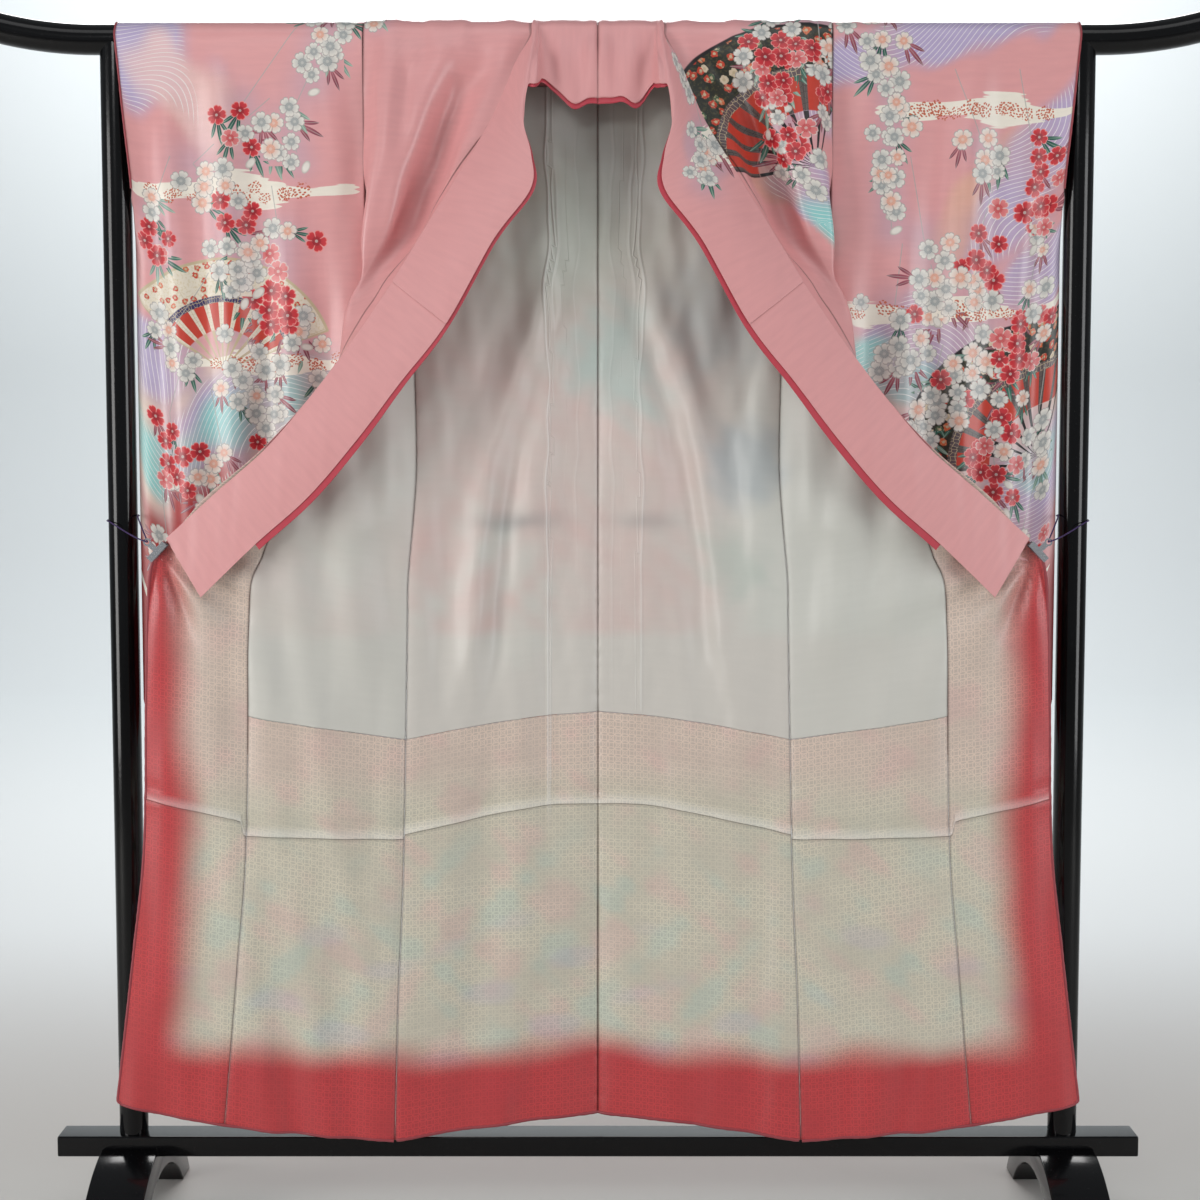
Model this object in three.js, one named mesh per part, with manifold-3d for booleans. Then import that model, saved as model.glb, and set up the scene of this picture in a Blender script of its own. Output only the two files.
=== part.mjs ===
// A furisode kimono hung open on a lacquered kimono rack. Millimetres, +Z up, the front faces -Y.
// The origin is on the floor, midway between the posts.
import * as THREE from 'three';
import { mergeVertices } from 'three/addons/utils/BufferGeometryUtils.js';
import Module from 'manifold-3d';

const wasm = await Module();
wasm.setup();

// ---- Driving dimensions -------------------------------------------------------------------------
const GAP = 0.3; // left between pieces that meet
const POST_SPACING = 1350; // between the centres of the two posts
const BAR_DIAMETER = 42;
const BAR_CENTRE_Z = 1684.5;
const BAR_STRAIGHT_HALF = 700; // the bar is straight this far out, then sweeps up
const BAR_HALF_LENGTH = 900;
const BAR_SWEEP_RADIUS = 580;
const POST_DIAMETER = 41;
const BEAM = { length: 1562, depth: 50, low: 94.6, high: 124.2, corner: 4 };
const FOOT = { width: 82, crown: 107.6, halfSpan: 190, innerCrown: 66, innerHalfSpan: 140 };

const OUTER_CLOTH = 1.2; // wall of the silk shell, as modelled
const LINING_CLOTH = 1.2; // wall of the lining
const COVER_CLOTH = 1.0; // wall of the over-collar
const CLOTH_RADIUS = BAR_DIAMETER / 2 + 2.3; // middle of shell and lining where they ride on the bar
const SEAM_INSET = GAP / 2 + 0.03; // each panel stops this far short of its seam line

const SHOULDER_HALF = 325; // centre back to the sleeve seam
const NECK_HALF = 92; // centre back to the neck point
const SLEEVE = {
  inner: SHOULDER_HALF + 0.5, // the sleeve seam
  cuffTop: 669, // outer edge on the bar
  cuffFoot: 650.5, // outer edge where the wrist opening ends
  bottom: 677, // height of the lower edge above the floor
  cornerRadius: 80, // rounded outer corner
  openingFoot: 1475, // height where the wrist opening ends
};
const HAKKAKE_ROW = 7; // row of the side seam at which the hem lining takes over from the upper lining

// Layers of cloth, measured along the surface normal, which points out of the garment.
const LAYERS = {
  lining: [-GAP / 2 - LINING_CLOTH, -GAP / 2],
  shell: [GAP / 2, GAP / 2 + OUTER_CLOTH],
  cover: [GAP / 2 + OUTER_CLOTH + GAP, GAP / 2 + OUTER_CLOTH + GAP + COVER_CLOTH],
};

// ---- Section tables, for the +X side; the other side is its mirror image --------------------------
// Points are [x, y, z]. x is measured out from the centre back.

/** A point on the cloth over the bar, at degrees round it: 0 behind, 90 on top, 180 in front. */
function onBar(x, degrees, lift = 0) {
  const angle = (degrees * Math.PI) / 180;
  const radius = CLOTH_RADIUS + lift;
  return [x, radius * Math.cos(angle), BAR_CENTRE_Z + radius * Math.sin(angle)];
}
const SHOULDER_LINE = 80; // degrees round the bar where the back ends and front and collar begin
const SHOULDER_GAP = 0.7; // degrees either side of it

// The side seam, top to hem, shared by back and front.
const SIDE_SEAM = [
  [266, 2, 1310], [262, -2, 1262], [259, -6, 1205], [257, -13, 1090], [262, -17, 1010], [269, -20, 930],
  [270, -23, 868], [273, -29, 703], [278, -35, 495], [285, -42, 337], [291, -50, 127],
];

// Back: centre seam and middle of each half, one row for each row of the side seam.
const BACK_ROWS = [
  { centreY: 15, midY: 13, centreZ: 1310 }, { centreY: 14, midY: 11, centreZ: 1262 },
  { centreY: 13, midY: 9, centreZ: 1205 }, { centreY: 11, midY: 5, centreZ: 1090 },
  { centreY: 10, midY: 2, centreZ: 1010 }, { centreY: 9, midY: -1, centreZ: 931 },
  { centreY: 9, midY: -3, centreZ: 880 }, { centreY: 8, midY: -8, centreZ: 739 },
  { centreY: 7, midY: -14, centreZ: 504 }, { centreY: 5, midY: -20, centreZ: 350 },
  { centreY: 0, midY: -28, centreZ: 152 },
];

// Collar band: seam line, free edge and how far the band bows forward between them, neck to tip.
const COLLAR_ROWS = [
  { seam: [91, -27, 1681], free: [97, -66, 1608], bow: 6 },
  { seam: [111, -34, 1647], free: [102, -78, 1563], bow: 8 },
  { seam: [143, -51, 1569], free: [90, -90, 1514], bow: 8 },
  { seam: [185, -62, 1497], free: [91, -93, 1467], bow: 8 },
  { seam: [227, -68, 1428], free: [142, -96, 1398], bow: 6 },
  { seam: [280, -78, 1342], free: [207, -99, 1284], bow: 5 },
  { seam: [336, -84, 1261], free: [269, -101, 1205], bow: 4 },
  { seam: [391, -88, 1188], free: [329, -102, 1127], bow: 3 },
  { seam: [454, -88, 1115], free: [397, -100, 1049], bow: 3 },
  { seam: [526, -84, 1053], free: [472, -93, 983], bow: 2 },
  { seam: [598, -76, 989], free: [550, -83, 909], bow: 1 },
];
const COVER_END = 11; // collar row at which the over-collar ends
const COLLAR_LINING_END = 15; // collar row at which the collar lining ends
const LINING_SHOWS = 1.16; // the collar lining stands out past the free edge by this share of the width

// Collar at the back of the neck, folded forward over the bar: outward place and free edge.
const NECK_ROWS = [
  { x: 0, freeX: 0, freeY: -37, freeZ: 1597 }, { x: 42, freeX: 44, freeY: -39, freeZ: 1604 },
  { x: 74, freeX: 76, freeY: -46, freeZ: 1618 },
];
// The collar's seam turns from the back neckline down the front; the band fans out from it.
const NECK_CORNER = [
  [onBar(87, 85, 0.6), onBar(83, 104, 1), onBar(81, 126, 1), onBar(80, 149, 1), [79, -27, 1676], [79, -43, 1646], [81, -51, 1615]],
  [onBar(89, 112, 1), onBar(84.5, 128, 1), onBar(82.5, 145, 1), [81.5, -25, 1690], [82, -33, 1668], [83, -46, 1643], [86, -56, 1613]],
  [onBar(90, 140, 0.6), [86.5, -22.5, 1697], [85, -27, 1687], [84.5, -31, 1675], [85.5, -38, 1660], [88, -50, 1637], [91, -61, 1611]],
];

// Front over the bar and down to the end of the sleeve seam, then round the fold to the side seam.
// The last point of each row follows the collar seam.
const FRONT_UPPER = [
  [[325, -23, 1640], [286, -36, 1642], [232, -33, 1643], [168, -27, 1644]],
  [[325, -24, 1571], [293, -48, 1571], [245, -40, 1570], [200, -30, 1570]],
  [[324.5, -21, 1484], [311, -56, 1484], [275, -47, 1486], [236, -32, 1489]],
  [[300, 4, 1400], [326, -49, 1400], [298, -50, 1404], [268, -35, 1412]],
];
// Front below the side opening: quarter, half and three-quarter points from side seam to front edge.
const FRONT_LOWER = [
  [[318, -35, 1314], [342, -46, 1318], [316, -53, 1328]],
  [[315, -36, 1262], [352, -44, 1262], [346, -60, 1262]],
  [[310, -36, 1203], [350, -47, 1200], [374, -62, 1194]],
  [[305, -34, 1094], [356, -48, 1098], [408, -62, 1105]],
  [[325, -40, 1018], [392, -54, 1027], [460, -67, 1039]],
  [[350, -44, 944], [432, -58, 958], [515, -67, 972]],
  [[358, -46, 884], [447, -58, 900], [536, -65, 916]],
  [[362, -46, 718], [452, -56, 733], [543, -60, 749]],
  [[368, -48, 511], [458, -56, 527], [549, -59, 544]],
  [[378, -50, 353], [471, -56, 368], [564, -59, 384]],
  [[390, -54, 136], [488, -56, 146], [590, -58, 163]],
];
// Front edge below the collar, down to the hem corner.
const FRONT_EDGE = [[624, -70, 933], [633, -63, 764], [640, -60, 560], [658, -60, 400], [685, -60, 185]];
const SEAM_ALLOWANCE_DEPTH = 4.2; // the front's edge lies this far behind the collar's

// ---- Vectors and splines --------------------------------------------------------------------------
const vec = (p) => (p.isVector3 ? p : new THREE.Vector3(...p));

/** Catmull-Rom through points, t from 0 to points.length - 1. */
function spline(points, t) {
  const last = points.length - 1;
  const i = Math.min(Math.max(Math.floor(t), 0), last - 1);
  const f = t - i;
  const at = (k) => {
    if (k < 0) return points[0].clone().multiplyScalar(2).sub(points[1]);
    if (k > last) return points[last].clone().multiplyScalar(2).sub(points[last - 1]);
    return points[k];
  };
  const [a, b, c, d] = [at(i - 1), at(i), at(i + 1), at(i + 2)];
  const weights = [
    -0.5 * f + f * f - 0.5 * f ** 3,
    1 - 2.5 * f * f + 1.5 * f ** 3,
    0.5 * f + 2 * f * f - 1.5 * f ** 3,
    -0.5 * f * f + 0.5 * f ** 3,
  ];
  const out = new THREE.Vector3();
  [a, b, c, d].forEach((p, k) => out.addScaledVector(p, weights[k]));
  return out;
}

/** A smooth surface through rows of points: u runs 0 to 1 across a row, v counts rows. */
function loft(rows) {
  const grid = rows.map((row) => row.map(vec));
  return (u, v) => {
    const across = grid.map((row) => spline(row, u * (row.length - 1)));
    return spline(across, v);
  };
}

const range = (from, to, steps) => Array.from({ length: steps + 1 }, (_, i) => from + ((to - from) * i) / steps);
const mirrored = (p, side) => new THREE.Vector3(p.x * side, p.y, p.z);

// ---- Cloth walls ------------------------------------------------------------------------------------
const STEP = 1e-3;

/** The unit normal of surface at (u, v), from differences along u and v. */
function surfaceNormal(surface, u, v) {
  const du = surface.at(u + STEP, v).sub(surface.at(u - STEP, v));
  const dv = surface.at(u, v + STEP).sub(surface.at(u, v - STEP));
  return du.cross(dv).normalize();
}

/** Flips every triangle of a closed mesh whose faces point in. */
function facingOut(positions, index) {
  let volume = 0;
  const p = (i) => new THREE.Vector3(positions[3 * i], positions[3 * i + 1], positions[3 * i + 2]);
  for (let i = 0; i < index.length; i += 3) {
    volume += p(index[i]).dot(p(index[i + 1]).cross(p(index[i + 2])));
  }
  if (volume < 0) {
    for (let i = 0; i < index.length; i += 3) [index[i + 1], index[i + 2]] = [index[i + 2], index[i + 1]];
  }
  return index;
}

/** A closed wall between two offsets of a surface, sampled at us by vs. */
function wall(surface, us, vs, [low, high], side) {
  const columns = us.length;
  const rows = vs.length;
  const positions = [];
  const point = (i, j) => surface.at(us[i], vs[j]);
  const inwards = (i, count) => (i === 0 ? 1 : i === count - 1 ? -1 : 0);
  for (const offset of [low, high]) {
    for (let j = 0; j < rows; j += 1) {
      for (let i = 0; i < columns; i += 1) {
        const p = point(i, j);
        const stepU = inwards(i, columns);
        const stepV = inwards(j, rows);
        const moved = p.clone().addScaledVector(surface.normal(us[i], vs[j]), offset);
        if (stepU) moved.addScaledVector(point(i + stepU, j).sub(p).normalize(), SEAM_INSET);
        if (stepV) moved.addScaledVector(point(i, j + stepV).sub(p).normalize(), SEAM_INSET);
        const q = mirrored(moved, side);
        positions.push(q.x, q.y, q.z);
      }
    }
  }
  const layer = columns * rows;
  const id = (i, j, k) => k * layer + j * columns + i;
  const index = [];
  const quad = (a, b, c, d) => index.push(a, b, c, a, c, d);
  for (let j = 0; j + 1 < rows; j += 1) {
    for (let i = 0; i + 1 < columns; i += 1) {
      quad(id(i, j, 1), id(i + 1, j, 1), id(i + 1, j + 1, 1), id(i, j + 1, 1));
      index.push(id(i, j, 0), id(i + 1, j + 1, 0), id(i + 1, j, 0));
      index.push(id(i, j, 0), id(i, j + 1, 0), id(i + 1, j + 1, 0));
    }
  }
  for (let i = 0; i + 1 < columns; i += 1) {
    quad(id(i, 0, 0), id(i + 1, 0, 0), id(i + 1, 0, 1), id(i, 0, 1));
    quad(id(i, rows - 1, 1), id(i + 1, rows - 1, 1), id(i + 1, rows - 1, 0), id(i, rows - 1, 0));
  }
  for (let j = 0; j + 1 < rows; j += 1) {
    quad(id(0, j, 1), id(0, j + 1, 1), id(0, j + 1, 0), id(0, j, 0));
    quad(id(columns - 1, j, 0), id(columns - 1, j + 1, 0), id(columns - 1, j + 1, 1), id(columns - 1, j, 1));
  }
  const geometry = new THREE.BufferGeometry();
  geometry.setAttribute('position', new THREE.Float32BufferAttribute(positions, 3));
  geometry.setIndex(facingOut(positions, index));
  return geometry;
}

// ---- Body surfaces ----------------------------------------------------------------------------------
const BACK_JOIN = 7; // back row that is the first of the side seam's
const FRONT_JOIN = 9; // front row that is the first of the side seam's

/** Four points of a back row: centre, two between, side. */
function backRow(side, centreY, midY, centreZ) {
  const [x, y, z] = side;
  return [
    [0, centreY, centreZ],
    [x * 0.33, midY + (centreY - midY) * 0.35, centreZ + (z - centreZ) * 0.2],
    [x * 0.67, midY + (y - midY) * 0.2, centreZ + (z - centreZ) * 0.56],
    [x, y, z],
  ];
}

const backSurface = (() => {
  const turns = [SHOULDER_LINE - SHOULDER_GAP, 53, 27, 0];
  const overBar = turns.map((turn) => range(0, SHOULDER_HALF, 3).map((x) => onBar(x, turn)));
  const upper = [[325, 23, 1625], [324.5, 21, 1484], [300, 9, 1400]];
  const down = upper.map(([x, y, z]) => backRow([x, y, z], y + 1, y, z));
  const lower = SIDE_SEAM.map((p, i) => {
    const { centreY, midY, centreZ } = BACK_ROWS[i];
    return backRow(p, centreY, midY, centreZ);
  });
  return { at: loft([...overBar, ...down, ...lower]) };
})();

/** Where the front's edge runs: behind the collar seam, then down the front edge to the hem. */
function frontEdgePoint(row) {
  if (row < COLLAR_ROWS.length) {
    const [x, y, z] = COLLAR_ROWS[row].seam;
    return [x, y + SEAM_ALLOWANCE_DEPTH, z];
  }
  return FRONT_EDGE[row - COLLAR_ROWS.length];
}

const frontSurface = (() => {
  const turns = [SHOULDER_LINE + SHOULDER_GAP, 105, 130, 155, 180];
  const overBar = turns.map((turn) => range(SHOULDER_HALF, NECK_HALF + 1.5, 4).map((x) => onBar(x, turn)));
  const upper = FRONT_UPPER.map((row, i) => [...row, frontEdgePoint(i + 1)]);
  const lower = FRONT_LOWER.map((row, i) => [SIDE_SEAM[i], ...row, frontEdgePoint(i + 5)]);
  return { at: loft([...overBar, ...upper, ...lower]) };
})();

/** Across the side seam both panels share one normal, so that their walls meet in a mitre. */
function sideSeamNormal(seamRow) {
  const du = frontSurface.at(STEP, FRONT_JOIN + seamRow).sub(backSurface.at(1 - STEP, BACK_JOIN + seamRow));
  const dv = backSurface.at(1, BACK_JOIN + seamRow + STEP).sub(backSurface.at(1, BACK_JOIN + seamRow - STEP));
  return du.cross(dv).normalize();
}

backSurface.normal = (u, v) => {
  if (u >= 1 && v >= BACK_JOIN) return sideSeamNormal(v - BACK_JOIN);
  const n = surfaceNormal(backSurface, u, v);
  if (u <= 0) n.setX(0).normalize();
  return n;
};
frontSurface.normal = (u, v) => {
  if (u <= 0 && v >= FRONT_JOIN) return sideSeamNormal(v - FRONT_JOIN);
  return surfaceNormal(frontSurface, u, v);
};

// ---- Okumi: the narrow front panel, tapering up to its point under the collar ---------------------
const OKUMI_SHARE = 0.61; // of the front's width, from the side seam to the okumi seam
const OKUMI_TIP_ROW = 6; // front row where the okumi comes to its point
const OKUMI_FULL_ROW = FRONT_JOIN + 5; // front row from which it has its full width
const okumiSeam = (v) => {
  const rise = Math.min(Math.max((OKUMI_FULL_ROW - v) / (OKUMI_FULL_ROW - OKUMI_TIP_ROW), 0), 1);
  return OKUMI_SHARE + (1 - OKUMI_SHARE) * rise;
};

/** Part of a surface between two lines u = from(v) and u = to(v), as a surface of its own. */
function strip(surface, from, to) {
  const across = (u, v) => from(v) + (to(v) - from(v)) * u;
  return {
    at: (u, v) => surface.at(across(u, v), v),
    normal: (u, v) => surface.normal(across(u, v), v),
  };
}
const frontPanel = strip(frontSurface, () => 0, okumiSeam);
const okumiPanel = strip(frontSurface, okumiSeam, () => 1);

// ---- Collar -----------------------------------------------------------------------------------------
const COLLAR_COLUMNS = 6;
const COLLAR_STEP = 1; // rows either side, as the seam turns sharply at the neck

/** Points across the collar where it folds over the bar at the back of the neck. */
function neckRow({ x, freeX, freeY, freeZ }) {
  const turns = [[SHOULDER_LINE + SHOULDER_GAP, 0], [103, 1], [126, 1], [149, 1]];
  return [
    ...turns.map(([turn, lift]) => onBar(x, turn, lift)), [x, -CLOTH_RADIUS - 1.5, BAR_CENTRE_Z - 5],
    [(x + freeX) / 2, (freeY - 27) / 2, 1643], [freeX, freeY, freeZ],
  ];
}

/** Points across the band, bowed forward between seam and free edge. */
function bandRow({ seam, free, bow }) {
  return range(0, 1, COLLAR_COLUMNS).map((t) => {
    const p = vec(seam).lerp(vec(free), t);
    p.y -= bow * Math.sin(Math.PI * t);
    return p;
  });
}

const collarLoft = loft([...NECK_ROWS.map(neckRow), ...NECK_CORNER, ...COLLAR_ROWS.map(bandRow)]);
const collarSurface = {
  at: (u, v) => {
    if (u <= 1) return collarLoft(u, v);
    const edge = collarLoft(1, v);
    return edge.clone().addScaledVector(edge.clone().sub(collarLoft(1 - STEP, v)), (u - 1) / STEP);
  },
};
collarSurface.normal = (u, v) => {
  const across = Math.min(u, 1 - STEP);
  const du = collarSurface.at(across + STEP, v).sub(collarSurface.at(across - STEP, v));
  const dv = collarSurface.at(across, v + COLLAR_STEP).sub(collarSurface.at(across, v - COLLAR_STEP));
  const n = du.cross(dv).normalize();
  if (v <= 0) n.setX(0).normalize();
  return n;
};

// ---- Sleeves ----------------------------------------------------------------------------------------
const SLEEVE_COLUMNS = [0, 0.2, 0.4, 0.6, 0.76, 0.88, 0.96, 1];
const SLEEVE_HANG = [1684.5, 1600, 1510, 1475, 1430, 1300, 1100, 900, 770];

/** Outer edge of the sleeve at height z: it slopes in along the wrist opening. */
function sleeveEdge(z) {
  const t = Math.min(Math.max((z - SLEEVE.openingFoot) / (BAR_CENTRE_Z - SLEEVE.openingFoot), 0), 1);
  return SLEEVE.cuffFoot + (SLEEVE.cuffTop - SLEEVE.cuffFoot) * t;
}

/** Half the sleeve's depth at a place: open inside, closed at the outer seam and the lower edge. */
function sleeveDepth(share, z) {
  const onOpening = z > SLEEVE.openingFoot;
  const hang = Math.min(Math.max((BAR_CENTRE_Z - z) / 420, 0), 1);
  const body = CLOTH_RADIUS - 6 * hang + 2.5 * Math.cos(share * 3.2 * Math.PI) * hang;
  const seam = onOpening ? 1 : Math.min(1, Math.max(0, (z - 1430) / 45));
  const closing = share < 0.76 ? 1 : 1 - (1 - seam) * ((share - 0.76) / 0.24) ** 2;
  return Math.max(body * closing, 0.8);
}

/** Lower edge of the sleeve at a column, rising round the outer corner. */
function sleeveFoot(x) {
  const { bottom, cornerRadius, cuffFoot } = SLEEVE;
  const into = x - (cuffFoot - cornerRadius);
  return into <= 0 ? bottom : bottom + cornerRadius - Math.sqrt(Math.max(0, cornerRadius ** 2 - into ** 2));
}

/** One hanging line of points down a sleeve layer, y = face * depth. */
function sleeveRow(level, face) {
  return SLEEVE_COLUMNS.map((share) => {
    const x = SLEEVE.inner + (sleeveEdge(level) - SLEEVE.inner) * share;
    const foot = sleeveFoot(SLEEVE.inner + (SLEEVE.cuffFoot - SLEEVE.inner) * share);
    const drop = (BAR_CENTRE_Z - level) / (BAR_CENTRE_Z - SLEEVE.bottom);
    const z = BAR_CENTRE_Z - drop * (BAR_CENTRE_Z - foot);
    return [x, face * sleeveDepth(share, z), z];
  });
}

const sleeveSurface = (() => {
  const lowEdge = (face) => sleeveRow(SLEEVE.bottom, face).map(([x, , z]) => [x, face * 0.8, z]);
  const front = SLEEVE_HANG.map((level) => sleeveRow(level, -1)).reverse();
  const back = SLEEVE_HANG.map((level) => sleeveRow(level, 1));
  const overBar = [150, 120, 90, 60, 30].map((turn) => SLEEVE_COLUMNS.map(
    (share) => onBar(SLEEVE.inner + (SLEEVE.cuffTop - SLEEVE.inner) * share, turn),
  ));
  const surface = { at: loft([lowEdge(-1), ...front, ...overBar, ...back, lowEdge(1)]) };
  surface.normal = (u, v) => surfaceNormal(surface, Math.min(Math.max(u, STEP), 1 - STEP), v);
  surface.rows = 2 * SLEEVE_HANG.length + 7;
  return surface;
})();
const SLEEVE_LAYER = [-0.6, 0.6];

// ---- Rack ---------------------------------------------------------------------------------------------
/** A circle's outline as a Shape. */
function disc(radius, sides) {
  return new THREE.Shape(range(0, sides - 1, sides - 1).map((i) => {
    const angle = (2 * Math.PI * i) / sides;
    return new THREE.Vector2(radius * Math.cos(angle), radius * Math.sin(angle));
  }));
}

/** The bar's centre line: straight between the sweeps, then curving up at each end. */
function barPath() {
  const sweep = BAR_HALF_LENGTH - BAR_STRAIGHT_HALF;
  const height = (x) => {
    const past = Math.max(Math.abs(x) - BAR_STRAIGHT_HALF, 0);
    return BAR_CENTRE_Z + BAR_SWEEP_RADIUS - Math.sqrt(BAR_SWEEP_RADIUS ** 2 - past ** 2);
  };
  const outer = range(BAR_HALF_LENGTH, BAR_STRAIGHT_HALF, 5);
  const xs = [...outer.map((x) => -x), -BAR_STRAIGHT_HALF + sweep / 5, 0, BAR_STRAIGHT_HALF - sweep / 5];
  xs.push(...outer.reverse());
  return { xs, height };
}

/** A closed round rod through rings of points at each x. */
function barGeometry(radius, sides = 20) {
  const { xs, height } = barPath();
  const positions = [];
  const index = [];
  xs.forEach((x) => {
    const slope = Math.atan2(height(x + 1) - height(x - 1), 2);
    for (let k = 0; k < sides; k += 1) {
      const angle = (2 * Math.PI * k) / sides;
      const [across, up] = [radius * Math.cos(angle), radius * Math.sin(angle)];
      positions.push(x - up * Math.sin(slope), across, height(x) + up * Math.cos(slope));
    }
  });
  for (let r = 0; r + 1 < xs.length; r += 1) {
    for (let k = 0; k < sides; k += 1) {
      const next = (k + 1) % sides;
      const [a, b, c, d] = [r * sides + k, r * sides + next, (r + 1) * sides + next, (r + 1) * sides + k];
      index.push(a, b, c, a, c, d);
    }
  }
  const last = (xs.length - 1) * sides;
  for (let k = 1; k + 1 < sides; k += 1) {
    index.push(0, k + 1, k, last, last + k, last + k + 1);
  }
  const geometry = new THREE.BufferGeometry();
  geometry.setAttribute('position', new THREE.Float32BufferAttribute(positions, 3));
  geometry.setIndex(facingOut(positions, index));
  return geometry;
}

/** three.js geometry to a Manifold solid. */
function solid(geometry) {
  const bare = geometry.clone();
  bare.deleteAttribute('normal');
  bare.deleteAttribute('uv');
  const merged = mergeVertices(bare, 1e-4);
  return new wasm.Manifold(new wasm.Mesh({
    numProp: 3,
    vertProperties: new Float32Array(merged.attributes.position.array),
    triVerts: new Uint32Array(merged.index.array),
  }));
}

/** A Manifold solid back to three.js geometry. */
function geometryOf(body) {
  const mesh = body.getMesh();
  const geometry = new THREE.BufferGeometry();
  geometry.setAttribute('position', new THREE.Float32BufferAttribute(mesh.vertProperties, 3));
  geometry.setIndex(Array.from(mesh.triVerts));
  return geometry;
}

/** A post: a round pole standing on the beam, its top coped to the underside of the bar. */
function postGeometry() {
  const foot = BEAM.high + GAP;
  const pole = new THREE.CylinderGeometry(POST_DIAMETER / 2, POST_DIAMETER / 2, BAR_CENTRE_Z - foot, 24);
  pole.rotateX(Math.PI / 2);
  pole.translate(POST_SPACING / 2, 0, (BAR_CENTRE_Z + foot) / 2);
  return geometryOf(solid(pole).subtract(solid(barGeometry(BAR_DIAMETER / 2 + GAP, 24))));
}

/** The base beam: a flat bar with softened corners. */
function beamGeometry() {
  const { length, depth, low, high, corner } = BEAM;
  const [w, d, r] = [length / 2, depth / 2, corner];
  const outline = new THREE.Shape();
  outline.moveTo(-w + r, -d);
  outline.lineTo(w - r, -d).quadraticCurveTo(w, -d, w, -d + r);
  outline.lineTo(w, d - r).quadraticCurveTo(w, d, w - r, d);
  outline.lineTo(-w + r, d).quadraticCurveTo(-w, d, -w, d - r);
  outline.lineTo(-w, -d + r).quadraticCurveTo(-w, -d, -w + r, -d);
  const options = { depth: high - low, bevelEnabled: false, curveSegments: 4 };
  return new THREE.ExtrudeGeometry(outline, options).translate(0, 0, low);
}

/** Points of an arch over the floor, from y = -halfSpan to y = halfSpan, crown high. */
function arch(halfSpan, crown, steps) {
  const radius = (halfSpan ** 2 + crown ** 2) / (2 * crown);
  return range(-halfSpan, halfSpan, steps).map((y) => [y, Math.max(0, crown - radius + Math.sqrt(radius ** 2 - y * y))]);
}

/** An arched foot, notched at its crown for the beam. */
function footGeometry() {
  const notch = BEAM.depth / 2 + GAP;
  const outer = arch(FOOT.halfSpan, FOOT.crown, 24);
  const radius = (FOOT.halfSpan ** 2 + FOOT.crown ** 2) / (2 * FOOT.crown);
  const lip = FOOT.crown - radius + Math.sqrt(radius ** 2 - notch ** 2);
  const points = [
    ...outer.filter(([y]) => y < -notch), [-notch, lip], [-notch, BEAM.low - GAP],
    [notch, BEAM.low - GAP], [notch, lip], ...outer.filter(([y]) => y > notch),
    ...arch(FOOT.innerHalfSpan, FOOT.innerCrown, 16).reverse(),
  ];
  const outline = new THREE.Shape(points.map(([y, z]) => new THREE.Vector2(y, z)));
  const foot = new THREE.ExtrudeGeometry(outline, { depth: FOOT.width, bevelEnabled: false });
  // The outline's x is the object's y and its y is the object's z.
  const frame = new THREE.Matrix4().makeBasis(
    new THREE.Vector3(0, 1, 0), new THREE.Vector3(0, 0, 1), new THREE.Vector3(1, 0, 0),
  );
  return foot.applyMatrix4(frame).translate((POST_SPACING - FOOT.width) / 2, 0, 0);
}

// ---- Clips and their cords ----------------------------------------------------------------------------
const CLIP = {
  centre: [611.5, 974], // middle of the jaws, x and z
  jawDirection: Math.atan2(-24, 22), // the jaws run along this line, out and down
  jawLength: 32, plate: 1.2, reach: 9, gapFront: -80.6, gapBack: -69.7,
  tabLength: 12, ringRadius: 5.5, holeRadius: 3.2,
};
const CORD_DIAMETER = 2;

/** A bent-sheet clip: two jaw plates on a spine, with an eyed tab for its cord. */
function clipGeometry() {
  const { jawLength, plate, reach, gapFront, gapBack } = CLIP;
  const jaws = new THREE.Shape([
    [0, gapFront - plate], [0, gapBack + plate], [-reach, gapBack + plate], [-reach, gapBack],
    [-plate, gapBack], [-plate, gapFront], [-reach, gapFront], [-reach, gapFront - plate],
  ].map(([out, y]) => new THREE.Vector2(out, y)));
  const channel = new THREE.ExtrudeGeometry(jaws, { depth: jawLength, bevelEnabled: false });
  channel.translate(0, 0, -jawLength / 2);
  const eye = new THREE.Shape();
  const neck = CLIP.ringRadius * 0.7;
  eye.moveTo(-1, -neck);
  eye.lineTo(CLIP.tabLength, -neck);
  eye.absarc(CLIP.tabLength + 3, 0, CLIP.ringRadius, -2.2, 2.2, false);
  eye.lineTo(CLIP.tabLength, neck);
  eye.lineTo(-1, neck);
  eye.holes.push(new THREE.Path().absarc(CLIP.tabLength + 3, 0, CLIP.holeRadius, 0, 2 * Math.PI, true));
  const tab = new THREE.ExtrudeGeometry(eye, { depth: plate, bevelEnabled: false, curveSegments: 10 });
  // The eye lies in the plane of out and along; its thickness is in y.
  tab.applyMatrix4(new THREE.Matrix4().makeBasis(
    new THREE.Vector3(1, 0, 0), new THREE.Vector3(0, 0, 1), new THREE.Vector3(0, -1, 0),
  )).translate(0, (gapFront + gapBack) / 2, 0);
  const clip = geometryOf(solid(channel).add(solid(tab)));
  // Out and along, turned to the clip's lie in the x-z plane.
  const along = new THREE.Vector3(Math.cos(CLIP.jawDirection), 0, Math.sin(CLIP.jawDirection));
  const out = new THREE.Vector3(-along.z, 0, along.x);
  clip.applyMatrix4(new THREE.Matrix4().makeBasis(out, new THREE.Vector3(0, 1, 0), along.negate()));
  return clip.translate(CLIP.centre[0] + out.x * 3, 0, CLIP.centre[1] + out.z * 3);
}

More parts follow.
